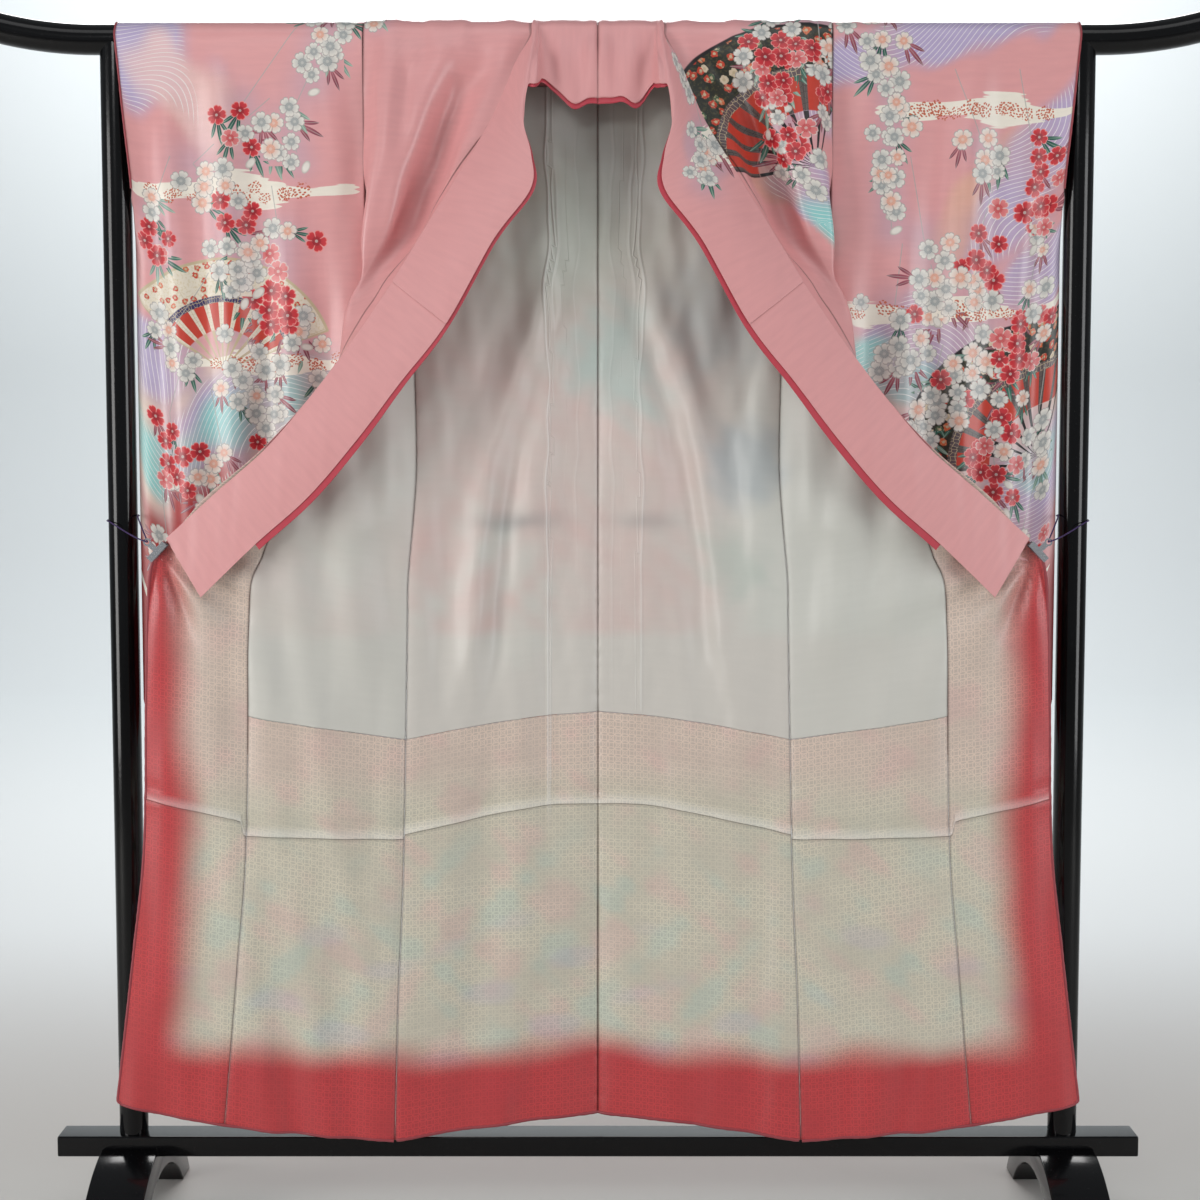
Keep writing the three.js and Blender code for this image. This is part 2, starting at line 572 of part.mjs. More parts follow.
/** Middle of the clip's eye. */
function eyePoint() {
  const along = new THREE.Vector3(Math.cos(CLIP.jawDirection), 0, Math.sin(CLIP.jawDirection));
  const reach = CLIP.tabLength + 6;
  const y = (CLIP.gapFront + CLIP.gapBack) / 2 - CLIP.plate / 2;
  return new THREE.Vector3(CLIP.centre[0] - along.z * reach, y, CLIP.centre[1] + along.x * reach);
}

/** The cord: a closed loop through the eye and round the post. */
function cordGeometry() {
  const eye = eyePoint();
  const post = POST_SPACING / 2;
  const hold = POST_DIAMETER / 2 + CORD_DIAMETER / 2 + GAP + 0.6;
  const around = range(195, -45, 8).map((degrees, i, all) => {
    const a = THREE.MathUtils.degToRad(degrees);
    const z = 1021 - (9 * i) / (all.length - 1);
    return new THREE.Vector3(post + hold * Math.cos(a), hold * Math.sin(a), z);
  });
  const ring = new THREE.CatmullRomCurve3([
    eye.clone().add(new THREE.Vector3(0.6, -3.2, 0.6)), eye.clone().add(new THREE.Vector3(-0.4, 0, -0.4)),
    eye.clone().add(new THREE.Vector3(1, 3.2, 2)), ...around,
    eye.clone().add(new THREE.Vector3(14, -3, 6)),
  ], true, 'centripetal');
  const steps = 60;
  const sides = 8;
  const positions = [];
  const index = [];
  const frames = ring.computeFrenetFrames(steps, true);
  for (let i = 0; i < steps; i += 1) {
    const centre = ring.getPointAt(i / steps);
    for (let k = 0; k < sides; k += 1) {
      const a = (2 * Math.PI * k) / sides;
      const p = centre.clone().addScaledVector(frames.normals[i], (Math.cos(a) * CORD_DIAMETER) / 2)
        .addScaledVector(frames.binormals[i], (Math.sin(a) * CORD_DIAMETER) / 2);
      positions.push(p.x, p.y, p.z);
      const next = ((i + 1) % steps) * sides;
      const [k1, here] = [(k + 1) % sides, i * sides];
      index.push(here + k, here + k1, next + k1, here + k, next + k1, next + k);
    }
  }
  const geometry = new THREE.BufferGeometry();
  geometry.setAttribute('position', new THREE.Float32BufferAttribute(positions, 3));
  geometry.setIndex(facingOut(positions, index));
  return geometry;
}

// ---- Materials ------------------------------------------------------------------------------------------
const material = (color, roughness, metalness = 0) => new THREE.MeshStandardMaterial({ color, roughness, metalness });
const LACQUER = material(0x0b0b0d, 0.15);
const PINK_SILK = material(0xe9a5a5, 0.45);
const PRINTED_SILK = material(0xe6b9bd, 0.45);
const WHITE_SILK = material(0xd9d8d2, 0.5);
const JACQUARD = material(0xcfc8b8, 0.45);
const RED_SILK = material(0xc24a55, 0.45);
const CLIP_METAL = material(0xd8d8dc, 0.2, 1);
const CORD = material(0x2c1b4a, 0.8);

// ---- The object -------------------------------------------------------------------------------------------
const group = new THREE.Group();

/** Adds one named piece. */
function add(name, geometry, finish) {
  const mesh = new THREE.Mesh(geometry, finish);
  mesh.name = name;
  group.add(mesh);
}

/** The same geometry on the other side of the garment. */
function onSide(geometry, side) {
  if (side > 0) return geometry;
  const copy = geometry.clone();
  const positions = copy.attributes.position;
  for (let i = 0; i < positions.count; i += 1) positions.setX(i, -positions.getX(i));
  copy.deleteAttribute('normal');
  const index = copy.index ? Array.from(copy.index.array) : range(0, positions.count - 1, positions.count - 1);
  copy.setIndex(facingOut(positions.array, index));
  return copy;
}

const BODY_END = BACK_JOIN + SIDE_SEAM.length - 1;
const FRONT_END = FRONT_JOIN + SIDE_SEAM.length - 1;
const FRONT_SHIFT = FRONT_JOIN - BACK_JOIN;
const backVs = [0, 1, 2, 3, 4, 5, 6, ...range(BACK_JOIN, BODY_END, 10)];
const frontVs = [0, 1, 2, 3, 4, 5, 6, 7, 8, ...range(FRONT_JOIN, FRONT_END, 10)];
const backHem = HAKKAKE_ROW + BACK_JOIN;
const frontHem = backHem + FRONT_SHIFT;

for (const [side, hand] of [[-1, 'left'], [1, 'right']]) {
  const half = range(0, 1, 6);
  add(`back_${hand}`, wall(backSurface, half, backVs, LAYERS.shell, side), PRINTED_SILK);
  const liningVs = backVs.filter((v) => v >= 4 && v <= backHem);
  add(`back_lining_${hand}`, wall(backSurface, half, liningVs, LAYERS.lining, side), WHITE_SILK);
  const hemVs = backVs.filter((v) => v >= backHem);
  add(`back_hakkake_${hand}`, wall(backSurface, half, hemVs, LAYERS.lining, side), JACQUARD);

  const panel = range(0, 1, 6);
  add(`front_${hand}`, wall(frontPanel, panel, frontVs, LAYERS.shell, side), PRINTED_SILK);
  const innerVs = frontVs.filter((v) => v >= FRONT_JOIN && v <= frontHem);
  add(`front_lining_${hand}`, wall(frontPanel, panel, innerVs, LAYERS.lining, side), WHITE_SILK);
  const frontHemVs = frontVs.filter((v) => v >= frontHem);
  add(`front_hakkake_${hand}`, wall(frontPanel, panel, frontHemVs, LAYERS.lining, side), JACQUARD);

  const okumiVs = frontVs.filter((v) => v > OKUMI_TIP_ROW);
  add(`okumi_${hand}`, wall(okumiPanel, [0, 0.5, 1], okumiVs, LAYERS.shell, side), PRINTED_SILK);
  const okumiLiningVs = frontVs.filter((v) => v >= FRONT_JOIN + 3);
  add(`okumi_hakkake_${hand}`, wall(okumiPanel, [0, 0.5, 1], okumiLiningVs, LAYERS.lining, side), JACQUARD);

  const collarEnd = NECK_ROWS.length + NECK_CORNER.length + COLLAR_ROWS.length - 1;
  const collarVs = range(0, collarEnd, collarEnd);
  const band = range(0, 1, COLLAR_COLUMNS);
  add(`collar_${hand}`, wall(collarSurface, band, collarVs, LAYERS.shell, side), PINK_SILK);
  const coverVs = collarVs.filter((v) => v <= COVER_END);
  add(`over_collar_${hand}`, wall(collarSurface, band, coverVs, LAYERS.cover, side), PINK_SILK);
  const facingVs = collarVs.filter((v) => v <= COLLAR_LINING_END);
  const facingUs = [...band, LINING_SHOWS];
  add(`collar_lining_${hand}`, wall(collarSurface, facingUs, facingVs, LAYERS.lining, side), RED_SILK);

  const sleeveVs = range(0, sleeveSurface.rows - 1, sleeveSurface.rows - 1);
  add(`sleeve_${hand}`, wall(sleeveSurface, SLEEVE_COLUMNS, sleeveVs, SLEEVE_LAYER, side), PRINTED_SILK);

  add(`rack_post_${hand}`, onSide(postGeometry(), side), LACQUER);
  add(`rack_foot_${hand}`, onSide(footGeometry(), side), LACQUER);
  add(`clip_${hand}`, onSide(clipGeometry(), side), CLIP_METAL);
  add(`clip_cord_${hand}`, onSide(cordGeometry(), side), CORD);
}
add('rack_bar', barGeometry(BAR_DIAMETER / 2), LACQUER);
add('rack_beam', beamGeometry(), LACQUER);

export default group;
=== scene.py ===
"""A long-sleeved silk kimono hung open on a black lacquered kimono rack."""

import logging
import math
from dataclasses import dataclass, field, replace
from enum import Enum
from typing import Callable, Optional, Sequence, Union

import bmesh
import bpy
import numpy as np
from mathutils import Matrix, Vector

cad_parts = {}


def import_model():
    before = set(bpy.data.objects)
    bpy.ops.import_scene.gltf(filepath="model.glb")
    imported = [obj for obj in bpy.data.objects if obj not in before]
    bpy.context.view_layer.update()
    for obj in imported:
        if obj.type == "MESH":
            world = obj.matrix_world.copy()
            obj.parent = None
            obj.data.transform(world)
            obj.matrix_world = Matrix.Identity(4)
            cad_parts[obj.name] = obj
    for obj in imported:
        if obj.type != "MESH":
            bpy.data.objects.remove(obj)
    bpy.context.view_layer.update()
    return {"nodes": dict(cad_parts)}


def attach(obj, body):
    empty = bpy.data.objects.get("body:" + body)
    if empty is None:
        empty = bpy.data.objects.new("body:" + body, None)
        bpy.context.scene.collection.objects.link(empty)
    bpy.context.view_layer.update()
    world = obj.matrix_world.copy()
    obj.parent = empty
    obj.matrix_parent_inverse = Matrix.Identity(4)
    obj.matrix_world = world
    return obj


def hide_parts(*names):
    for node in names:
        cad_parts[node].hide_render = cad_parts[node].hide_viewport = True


log = logging.getLogger("kimono")

MM = 0.001
BODY = "root"
Colour = tuple[float, float, float]
Array = np.ndarray
Material = bpy.types.Material
Node = bpy.types.Node
Thing = bpy.types.Object
Tree = bpy.types.NodeTree
Socket = bpy.types.NodeSocket
Value = Union[float, Sequence[float], Socket]
Relief = Callable[[Array, Array], Array]


def srgb(red: int, green: int, blue: int) -> Colour:
    """Linear colour of an 8-bit display colour."""
    return tuple(((c / 255 + 0.055) / 1.055) ** 2.4 if c > 10 else c / 3295 for c in (red, green, blue))


class Hand(Enum):
    """Which half of the garment, as seen from the open front."""

    LEFT = -1
    RIGHT = 1

    @property
    def word(self) -> str:
        """The name's ending."""
        return self.name.lower()


class Motif(Enum):
    """What is painted on the silk; the value is its code in the motif attributes."""

    WHITE_BLOSSOM = 0
    PEACH_BLOSSOM = 1
    RED_BLOSSOM = 2
    PINK_BLOSSOM = 3
    GREEN_LEAF = 4
    MAROON_LEAF = 5
    PALE_LEAF = 6
    STEM = 7
    SPRIG = 8
    BUD = 9


# ---- Section tables, in millimetres, for the right half ----

BAR_Z = 1684.5
BAR_RADIUS = 21.0
CLOTH_RADIUS = BAR_RADIUS + 2.3
SHOULDER_HALF = 325.0
NECK_HALF = 92.0
SHOULDER_LINE = 80.0
SHOULDER_GAP = 0.7

SIDE_SEAM = (
    (266, 2, 1310), (262, -2, 1262), (259, -6, 1205), (257, -13, 1090), (262, -17, 1010), (269, -20, 930),
    (270, -23, 868), (273, -29, 703), (278, -35, 495), (285, -42, 337), (291, -50, 127),
)
# Centre y, middle y and centre z of the back, row by row with the side seam.
BACK_ROWS = (
    (15, 13, 1310), (14, 11, 1262), (13, 9, 1205), (11, 5, 1090), (10, 2, 1010), (9, -1, 931),
    (9, -3, 880), (8, -8, 739), (7, -14, 504), (5, -20, 350), (0, -28, 152),
)
COLLAR_ROWS = (
    ((91, -27, 1681), (97, -66, 1608), 6), ((111, -34, 1647), (102, -78, 1563), 8),
    ((143, -51, 1569), (90, -90, 1514), 8), ((185, -62, 1497), (91, -93, 1467), 8),
    ((227, -68, 1428), (142, -96, 1398), 6), ((280, -78, 1342), (207, -99, 1284), 5),
    ((336, -84, 1261), (269, -101, 1205), 4), ((391, -88, 1188), (329, -102, 1127), 3),
    ((454, -88, 1115), (397, -100, 1049), 3), ((526, -84, 1053), (472, -93, 983), 2),
    ((598, -76, 989), (550, -83, 909), 1),
)
NECK_ROWS = ((0, 0, -37, 1597), (42, 44, -39, 1604), (74, 76, -46, 1618))
FRONT_UPPER = (
    ((325, -23, 1640), (286, -36, 1642), (232, -33, 1643), (168, -27, 1644)),
    ((325, -24, 1571), (293, -48, 1571), (245, -40, 1570), (200, -30, 1570)),
    ((324.5, -21, 1484), (311, -56, 1484), (275, -47, 1486), (236, -32, 1489)),
    ((300, 4, 1400), (326, -49, 1400), (298, -50, 1404), (268, -35, 1412)),
)
FRONT_LOWER = (
    ((318, -35, 1314), (342, -46, 1318), (316, -53, 1328)),
    ((315, -36, 1262), (352, -44, 1262), (346, -60, 1262)),
    ((310, -36, 1203), (350, -47, 1200), (374, -62, 1194)),
    ((305, -34, 1094), (356, -48, 1098), (408, -62, 1105)),
    ((325, -40, 1018), (392, -54, 1027), (460, -67, 1039)),
    ((350, -44, 944), (432, -58, 958), (515, -67, 972)),
    ((358, -46, 884), (447, -58, 900), (536, -65, 916)),
    ((362, -46, 718), (452, -56, 733), (543, -60, 749)),
    ((368, -48, 511), (458, -56, 527), (549, -59, 544)),
    ((378, -50, 353), (471, -56, 368), (564, -59, 384)),
    ((390, -54, 136), (488, -56, 146), (590, -58, 163)),
)
FRONT_EDGE = ((624, -70, 933), (633, -63, 764), (640, -60, 560), (658, -60, 400), (685, -60, 185))
SEAM_ALLOWANCE_DEPTH = 4.2


def on_bar(x: float, degrees: float, lift: float = 0.0) -> tuple[float, float, float]:
    """A point on the cloth over the bar, at degrees round it: 0 behind, 90 on top, 180 in front."""
    angle = math.radians(degrees)
    radius = CLOTH_RADIUS + lift
    return (x, radius * math.cos(angle), BAR_Z + radius * math.sin(angle))


NECK_CORNER = (
    (on_bar(87, 85, 0.6), on_bar(83, 104, 1), on_bar(81, 126, 1), on_bar(80, 149, 1),
     (79, -27, 1676), (79, -43, 1646), (81, -51, 1615)),
    (on_bar(89, 112, 1), on_bar(84.5, 128, 1), on_bar(82.5, 145, 1), (81.5, -25, 1690),
     (82, -33, 1668), (83, -46, 1643), (86, -56, 1613)),
    (on_bar(90, 140, 0.6), (86.5, -22.5, 1697), (85, -27, 1687), (84.5, -31, 1675),
     (85.5, -38, 1660), (88, -50, 1637), (91, -61, 1611)),
)


# ---- Surfaces ----

def spline_weights(f: Array) -> Array:
    """Catmull-Rom weights of four neighbouring knots.

    Args:
        f: Place between the two middle knots.

    Returns:
        An array of four rows of weights.
    """
    return np.stack([
        -0.5 * f + f ** 2 - 0.5 * f ** 3, 1 - 2.5 * f ** 2 + 1.5 * f ** 3,
        0.5 * f + 2 * f ** 2 - 1.5 * f ** 3, -0.5 * f ** 2 + 0.5 * f ** 3,
    ])


@dataclass
class Surface:
    """A smooth surface through rows of knots: u runs 0 to 1 across a row, v counts rows."""

    knots: Array
    step_v: float = 0.02
    padded: Array = field(init=False)
    lengths: Array = field(init=False)
    widths: Array = field(init=False)

    def __post_init__(self) -> None:
        """Adds a ghost row and column all round, and measures the cloth along and across."""
        knots = np.asarray(self.knots, dtype=float)
        self.knots = knots
        rows = np.concatenate([2 * knots[:1] - knots[1:2], knots, 2 * knots[-1:] - knots[-2:-1]])
        self.padded = np.concatenate(
            [2 * rows[:, :1] - rows[:, 1:2], rows, 2 * rows[:, -1:] - rows[:, -2:-1]], axis=1,
        )
        v = np.linspace(0, self.last_row, 40 * self.last_row + 1)
        down = self.at(np.full_like(v, 0.5), v)
        self.lengths = np.concatenate([[0], np.cumsum(np.linalg.norm(np.diff(down, axis=0), axis=1))])
        u = np.linspace(0, 1, 33)
        rows_v = np.linspace(0, self.last_row, 4 * self.last_row + 1)
        points = self.at(*np.meshgrid(u, rows_v))
        steps = np.linalg.norm(np.diff(points, axis=1), axis=2)
        self.widths = np.concatenate([np.zeros((len(rows_v), 1)), np.cumsum(steps, axis=1)], axis=1)

    @property
    def last_row(self) -> int:
        """The highest v."""
        return len(self.knots) - 1

    def at(self, u: Array, v: Array) -> Array:
        """Points of the surface in millimetres, one for each pair of u and v.

        Args:
            u: Share of the width.
            v: Row of the surface.

        Returns:
            The points.
        """
        across = np.asarray(u, dtype=float) * (self.knots.shape[1] - 1)
        i = np.clip(np.floor(v), 0, len(self.knots) - 2).astype(int)
        j = np.clip(np.floor(across), 0, self.knots.shape[1] - 2).astype(int)
        wv, wu = spline_weights(v - i), spline_weights(across - j)
        total = np.zeros(np.shape(across) + (3,))
        for a in range(4):
            for b in range(4):
                total += (wv[a] * wu[b])[..., None] * self.padded[i + a, j + b]
        return total

    def normals(self, u: Array, v: Array) -> Array:
        """Unit normals, from differences along u and v."""
        du = self.at(u + 1e-3, v) - self.at(u - 1e-3, v)
        dv = self.at(u, v + self.step_v) - self.at(u, v - self.step_v)
        normal = np.cross(du, dv)
        return normal / np.maximum(np.linalg.norm(normal, axis=-1, keepdims=True), 1e-9)

    def down(self, v: Array) -> Array:
        """Length of cloth from the first row down to v, in millimetres."""
        return np.interp(v, np.linspace(0, self.last_row, len(self.lengths)), self.lengths)

    def across(self, u: Array, v: Array) -> Array:
        """Width of cloth from u = 0 to u along row v, in millimetres."""
        rows, columns = self.widths.shape
        y = np.clip(v / self.last_row, 0, 1) * (rows - 1)
        x = np.clip(u, 0, 1) * (columns - 1)
        i, j = np.minimum(y.astype(int), rows - 2), np.minimum(x.astype(int), columns - 2)
        fy, fx = y - i, x - j
        w = self.widths
        return ((w[i, j] * (1 - fx) + w[i, j + 1] * fx) * (1 - fy)
                + (w[i + 1, j] * (1 - fx) + w[i + 1, j + 1] * fx) * fy)

    def rows_between(self, start: float, end: float, step: float) -> Array:
        """Values of v from start to end, evenly spaced in length of cloth."""
        low, high = self.down(np.array([start, end]))
        count = max(2, int(round((high - low) / step)) + 1)
        lengths = np.linspace(low, high, count)
        v = np.interp(lengths, self.lengths, np.linspace(0, self.last_row, len(self.lengths)))
        v[0], v[-1] = start, end
        return v


def even(low: float, high: float, steps: int) -> list[float]:
    """Evenly spaced numbers, both ends included."""
    return [low + (high - low) * i / steps for i in range(steps + 1)]


def back_row(side: Sequence[float], centre_y: float, mid_y: float, centre_z: float) -> list[tuple]:
    """Four knots of a back row: centre, two between, side."""
    x, y, z = side
    return [
        (0, centre_y, centre_z),
        (x * 0.33, mid_y + (centre_y - mid_y) * 0.35, centre_z + (z - centre_z) * 0.2),
        (x * 0.67, mid_y + (y - mid_y) * 0.2, centre_z + (z - centre_z) * 0.56),
        (x, y, z),
    ]


def back_surface() -> Surface:
    """The back, from the shoulder line down: u from centre seam to side seam."""
    turns = (SHOULDER_LINE - SHOULDER_GAP, 53, 27, 0)
    rows = [[on_bar(x, turn) for x in even(0, SHOULDER_HALF, 3)] for turn in turns]
    for x, y, z in ((325, 23, 1625), (324.5, 21, 1484), (300, 9, 1400)):
        rows.append(back_row((x, y, z), y + 1, y, z))
    rows += [back_row(side, *row) for side, row in zip(SIDE_SEAM, BACK_ROWS)]
    return Surface(np.array(rows, dtype=float))


def front_edge_point(row: int) -> tuple[float, float, float]:
    """Where the front's edge runs: behind the collar seam, then down the front edge."""
    if row < len(COLLAR_ROWS):
        x, y, z = COLLAR_ROWS[row][0]
        return (x, y + SEAM_ALLOWANCE_DEPTH, z)
    return FRONT_EDGE[row - len(COLLAR_ROWS)]


def front_surface() -> Surface:
    """Front and okumi together, over the bar and down: u from side seam to front edge."""
    turns = (SHOULDER_LINE + SHOULDER_GAP, 105, 130, 155, 180)
    rows = [[on_bar(x, turn) for x in even(SHOULDER_HALF, NECK_HALF + 1.5, 4)] for turn in turns]
    rows += [[*row, front_edge_point(i + 1)] for i, row in enumerate(FRONT_UPPER)]
    rows += [[SIDE_SEAM[i], *row, front_edge_point(i + 5)] for i, row in enumerate(FRONT_LOWER)]
    return Surface(np.array(rows, dtype=float))


def collar_surface() -> Surface:
    """The collar band from the centre back to its tip: u from the seam to the free edge.

    Returns:
        The collar's surface.
    """
    rows: list = []
    for x, free_x, free_y, free_z in NECK_ROWS:
        rows.append([
            on_bar(x, SHOULDER_LINE + SHOULDER_GAP), on_bar(x, 103, 1), on_bar(x, 126, 1), on_bar(x, 149, 1),
            (x, -CLOTH_RADIUS - 1.5, BAR_Z - 5), ((x + free_x) / 2, (free_y - 27) / 2, 1643),
            (free_x, free_y, free_z),
        ])
    rows += [list(row) for row in NECK_CORNER]
    for seam, free, bow in COLLAR_ROWS:
        start, end = np.array(seam, dtype=float), np.array(free, dtype=float)
        rows.append([tuple(start + (end - start) * t - np.array([0, bow * math.sin(math.pi * t), 0]))
                     for t in even(0, 1, 6)])
    return Surface(np.array(rows, dtype=float), step_v=0.9)


BACK = back_surface()
FRONT = front_surface()
COLLAR = collar_surface()
BACK_JOIN = 7
FRONT_JOIN = 9
BACK_HEM_LINING = BACK_JOIN + 7
FRONT_HEM_LINING = FRONT_JOIN + 7
OKUMI_SHARE = 0.61
OKUMI_TIP_ROW = 6
OKUMI_FULL_ROW = FRONT_JOIN + 5
COVER_END = 11
COLLAR_LINING_END = 15


def okumi_seam(v: Array) -> Array:
    """Where the okumi seam crosses each front row."""
    rise = np.clip((OKUMI_FULL_ROW - v) / (OKUMI_FULL_ROW - OKUMI_TIP_ROW), 0, 1)
    return OKUMI_SHARE + (1 - OKUMI_SHARE) * rise


@dataclass(frozen=True)
class SleeveCut:
    """The sleeve's outline, in millimetres."""

    inner: float = SHOULDER_HALF + 0.5
    cuff_top: float = 669.0
    cuff_foot: float = 650.5
    bottom: float = 677.0
    corner: float = 80.0
    opening_foot: float = 1475.0

    def edge(self, z: Array) -> Array:
        """Outer edge at height z: it slopes in along the wrist opening."""
        t = np.clip((z - self.opening_foot) / (BAR_Z - self.opening_foot), 0, 1)
        return self.cuff_foot + (self.cuff_top - self.cuff_foot) * t

    def foot(self, x: Array) -> Array:
        """Lower edge at x, rising round the outer corner."""
        into = np.maximum(x - (self.cuff_foot - self.corner), 0)
        rise = self.corner - np.sqrt(np.maximum(self.corner ** 2 - into ** 2, 0))
        return self.bottom + rise

    def depth(self, share: Array, z: Array) -> Array:
        """Half the depth of the hollow: open inside, closed at the outer seam."""
        hang = np.clip((BAR_Z - z) / 420, 0, 1)
        body = CLOTH_RADIUS - 6 * hang + 2.5 * np.cos(share * 3.2 * math.pi) * hang
        seam = np.where(z > self.opening_foot, 1, np.clip((z - 1430) / 45, 0, 1))
        closing = 1 - (1 - seam) * (np.maximum(share - 0.76, 0) / 0.24) ** 2
        shut = np.clip((z - self.bottom) / 150, 0, 1) ** 0.5
        return np.maximum(body * closing * shut, 0.8)


# ---- Folds and creases ----

class Waves:
    """Smooth random undulation: a seeded sum of sines."""

    def __init__(self, seed: int, length_x: float, length_z: float, count: int = 7) -> None:
        """Settles the waves.

        Args:
            seed: Picks the pattern.
            length_x: Typical wavelength across, in millimetres.
            length_z: Typical wavelength down, in millimetres.
            count: How many sines are summed.
        """
        rng = np.random.default_rng(seed)
        self.kx = 2 * math.pi / (length_x * rng.uniform(0.6, 1.7, count)) * rng.choice([-1, 1], count)
        self.kz = 2 * math.pi / (length_z * rng.uniform(0.6, 1.7, count))
        self.phase = rng.uniform(0, 2 * math.pi, count)
        self.count = count

    def __call__(self, x: Array, z: Array) -> Array:
        """Height of the waves, about -1 to 1."""
        total = np.zeros(np.shape(x))
        for kx, kz, phase in zip(self.kx, self.kz, self.phase):
            total += np.sin(kx * x + kz * z + phase)
        return total / math.sqrt(self.count / 2) / 1.6


def bump(t: Array, width: float) -> Array:
    """A smooth ridge of height 1 at t = 0."""
    return np.exp(-(t / width) ** 2)


def crease(t: Array, width: float) -> Array:
    """A sharp ridge of height 1 at t = 0."""
    return np.exp(-np.abs(t) / width)


def ease(t: Array, low: float, high: float) -> Array:
    """0 below low, 1 above high and smooth between; the other way round if low is the greater."""
    s = np.clip((t - low) / (high - low), 0, 1)
    return s * s * (3 - 2 * s)


# ---- Painting ----

PINK = srgb(222, 158, 158)
PALE_PINK = srgb(234, 194, 188)
LILAC_SHADE = srgb(196, 160, 172)
LAVENDER = srgb(178, 166, 202)
TURQUOISE = srgb(140, 208, 204)
VERMILION = srgb(196, 62, 46)
DEEP_RED = srgb(168, 38, 40)
MIST_WHITE = srgb(236, 228, 214)
CORAL = srgb(178, 50, 56)
BEIGE = srgb(194, 188, 172)
SHEER_WHITE = srgb(206, 206, 198)


def mix(a: Array, b: Sequence[float], weight: Array) -> Array:
    """Colours a moved towards colour b by weight."""
    return a + (np.asarray(b) - a) * np.clip(weight, 0, 1)[..., None]


@dataclass(frozen=True)
class Stroke:
    """One painted motif: its place, half sizes and turn on the flat cloth, in metres and radians."""

    motif: Motif
    u: float
    v: float
    half_length: float
    half_width: float
    turn: float = 0.0


@dataclass(frozen=True)
class Spray:
    """A hanging branch of blossoms along a path of (u, v) points, in millimetres."""

    path: tuple[tuple[float, float], ...]
    count: int
    spread: float = 16
    red: float = 0.0
    stem_from: Optional[tuple[float, float]] = None


@dataclass(frozen=True)
class Cloud:
    """A soft airbrushed patch: centre and half sizes in millimetres, turn, colour and strength."""

    u: float
    v: float
    half_u: float
    half_v: float
    turn: float
    colour: Colour
    strength: float = 1.0
    lines: float = 0.0


@dataclass(frozen=True)
class MistBand:
    """A long flat bank of mist with ragged ends, in millimetres."""

    u: float
    v: float
    half_u: float
    half_v: float
    sprigs: int = 6


@dataclass(frozen=True)
class Fan:
    """An open folding fan: pivot and radius in millimetres, turn, and whether it is the dark brocade one."""

    u: float
    v: float
    radius: float
    turn: float
    dark: bool = False


def in_metres(item: object, *names: str) -> object:
    """A copy of a table's row with the named lengths turned from millimetres into metres."""
    def metres(value: object) -> object:
        """One length, or lengths in tuples."""
        if value is None:
            return None
        return tuple(metres(v) for v in value) if isinstance(value, tuple) else value / 1000

    return replace(item, **{name: metres(getattr(item, name)) for name in names})


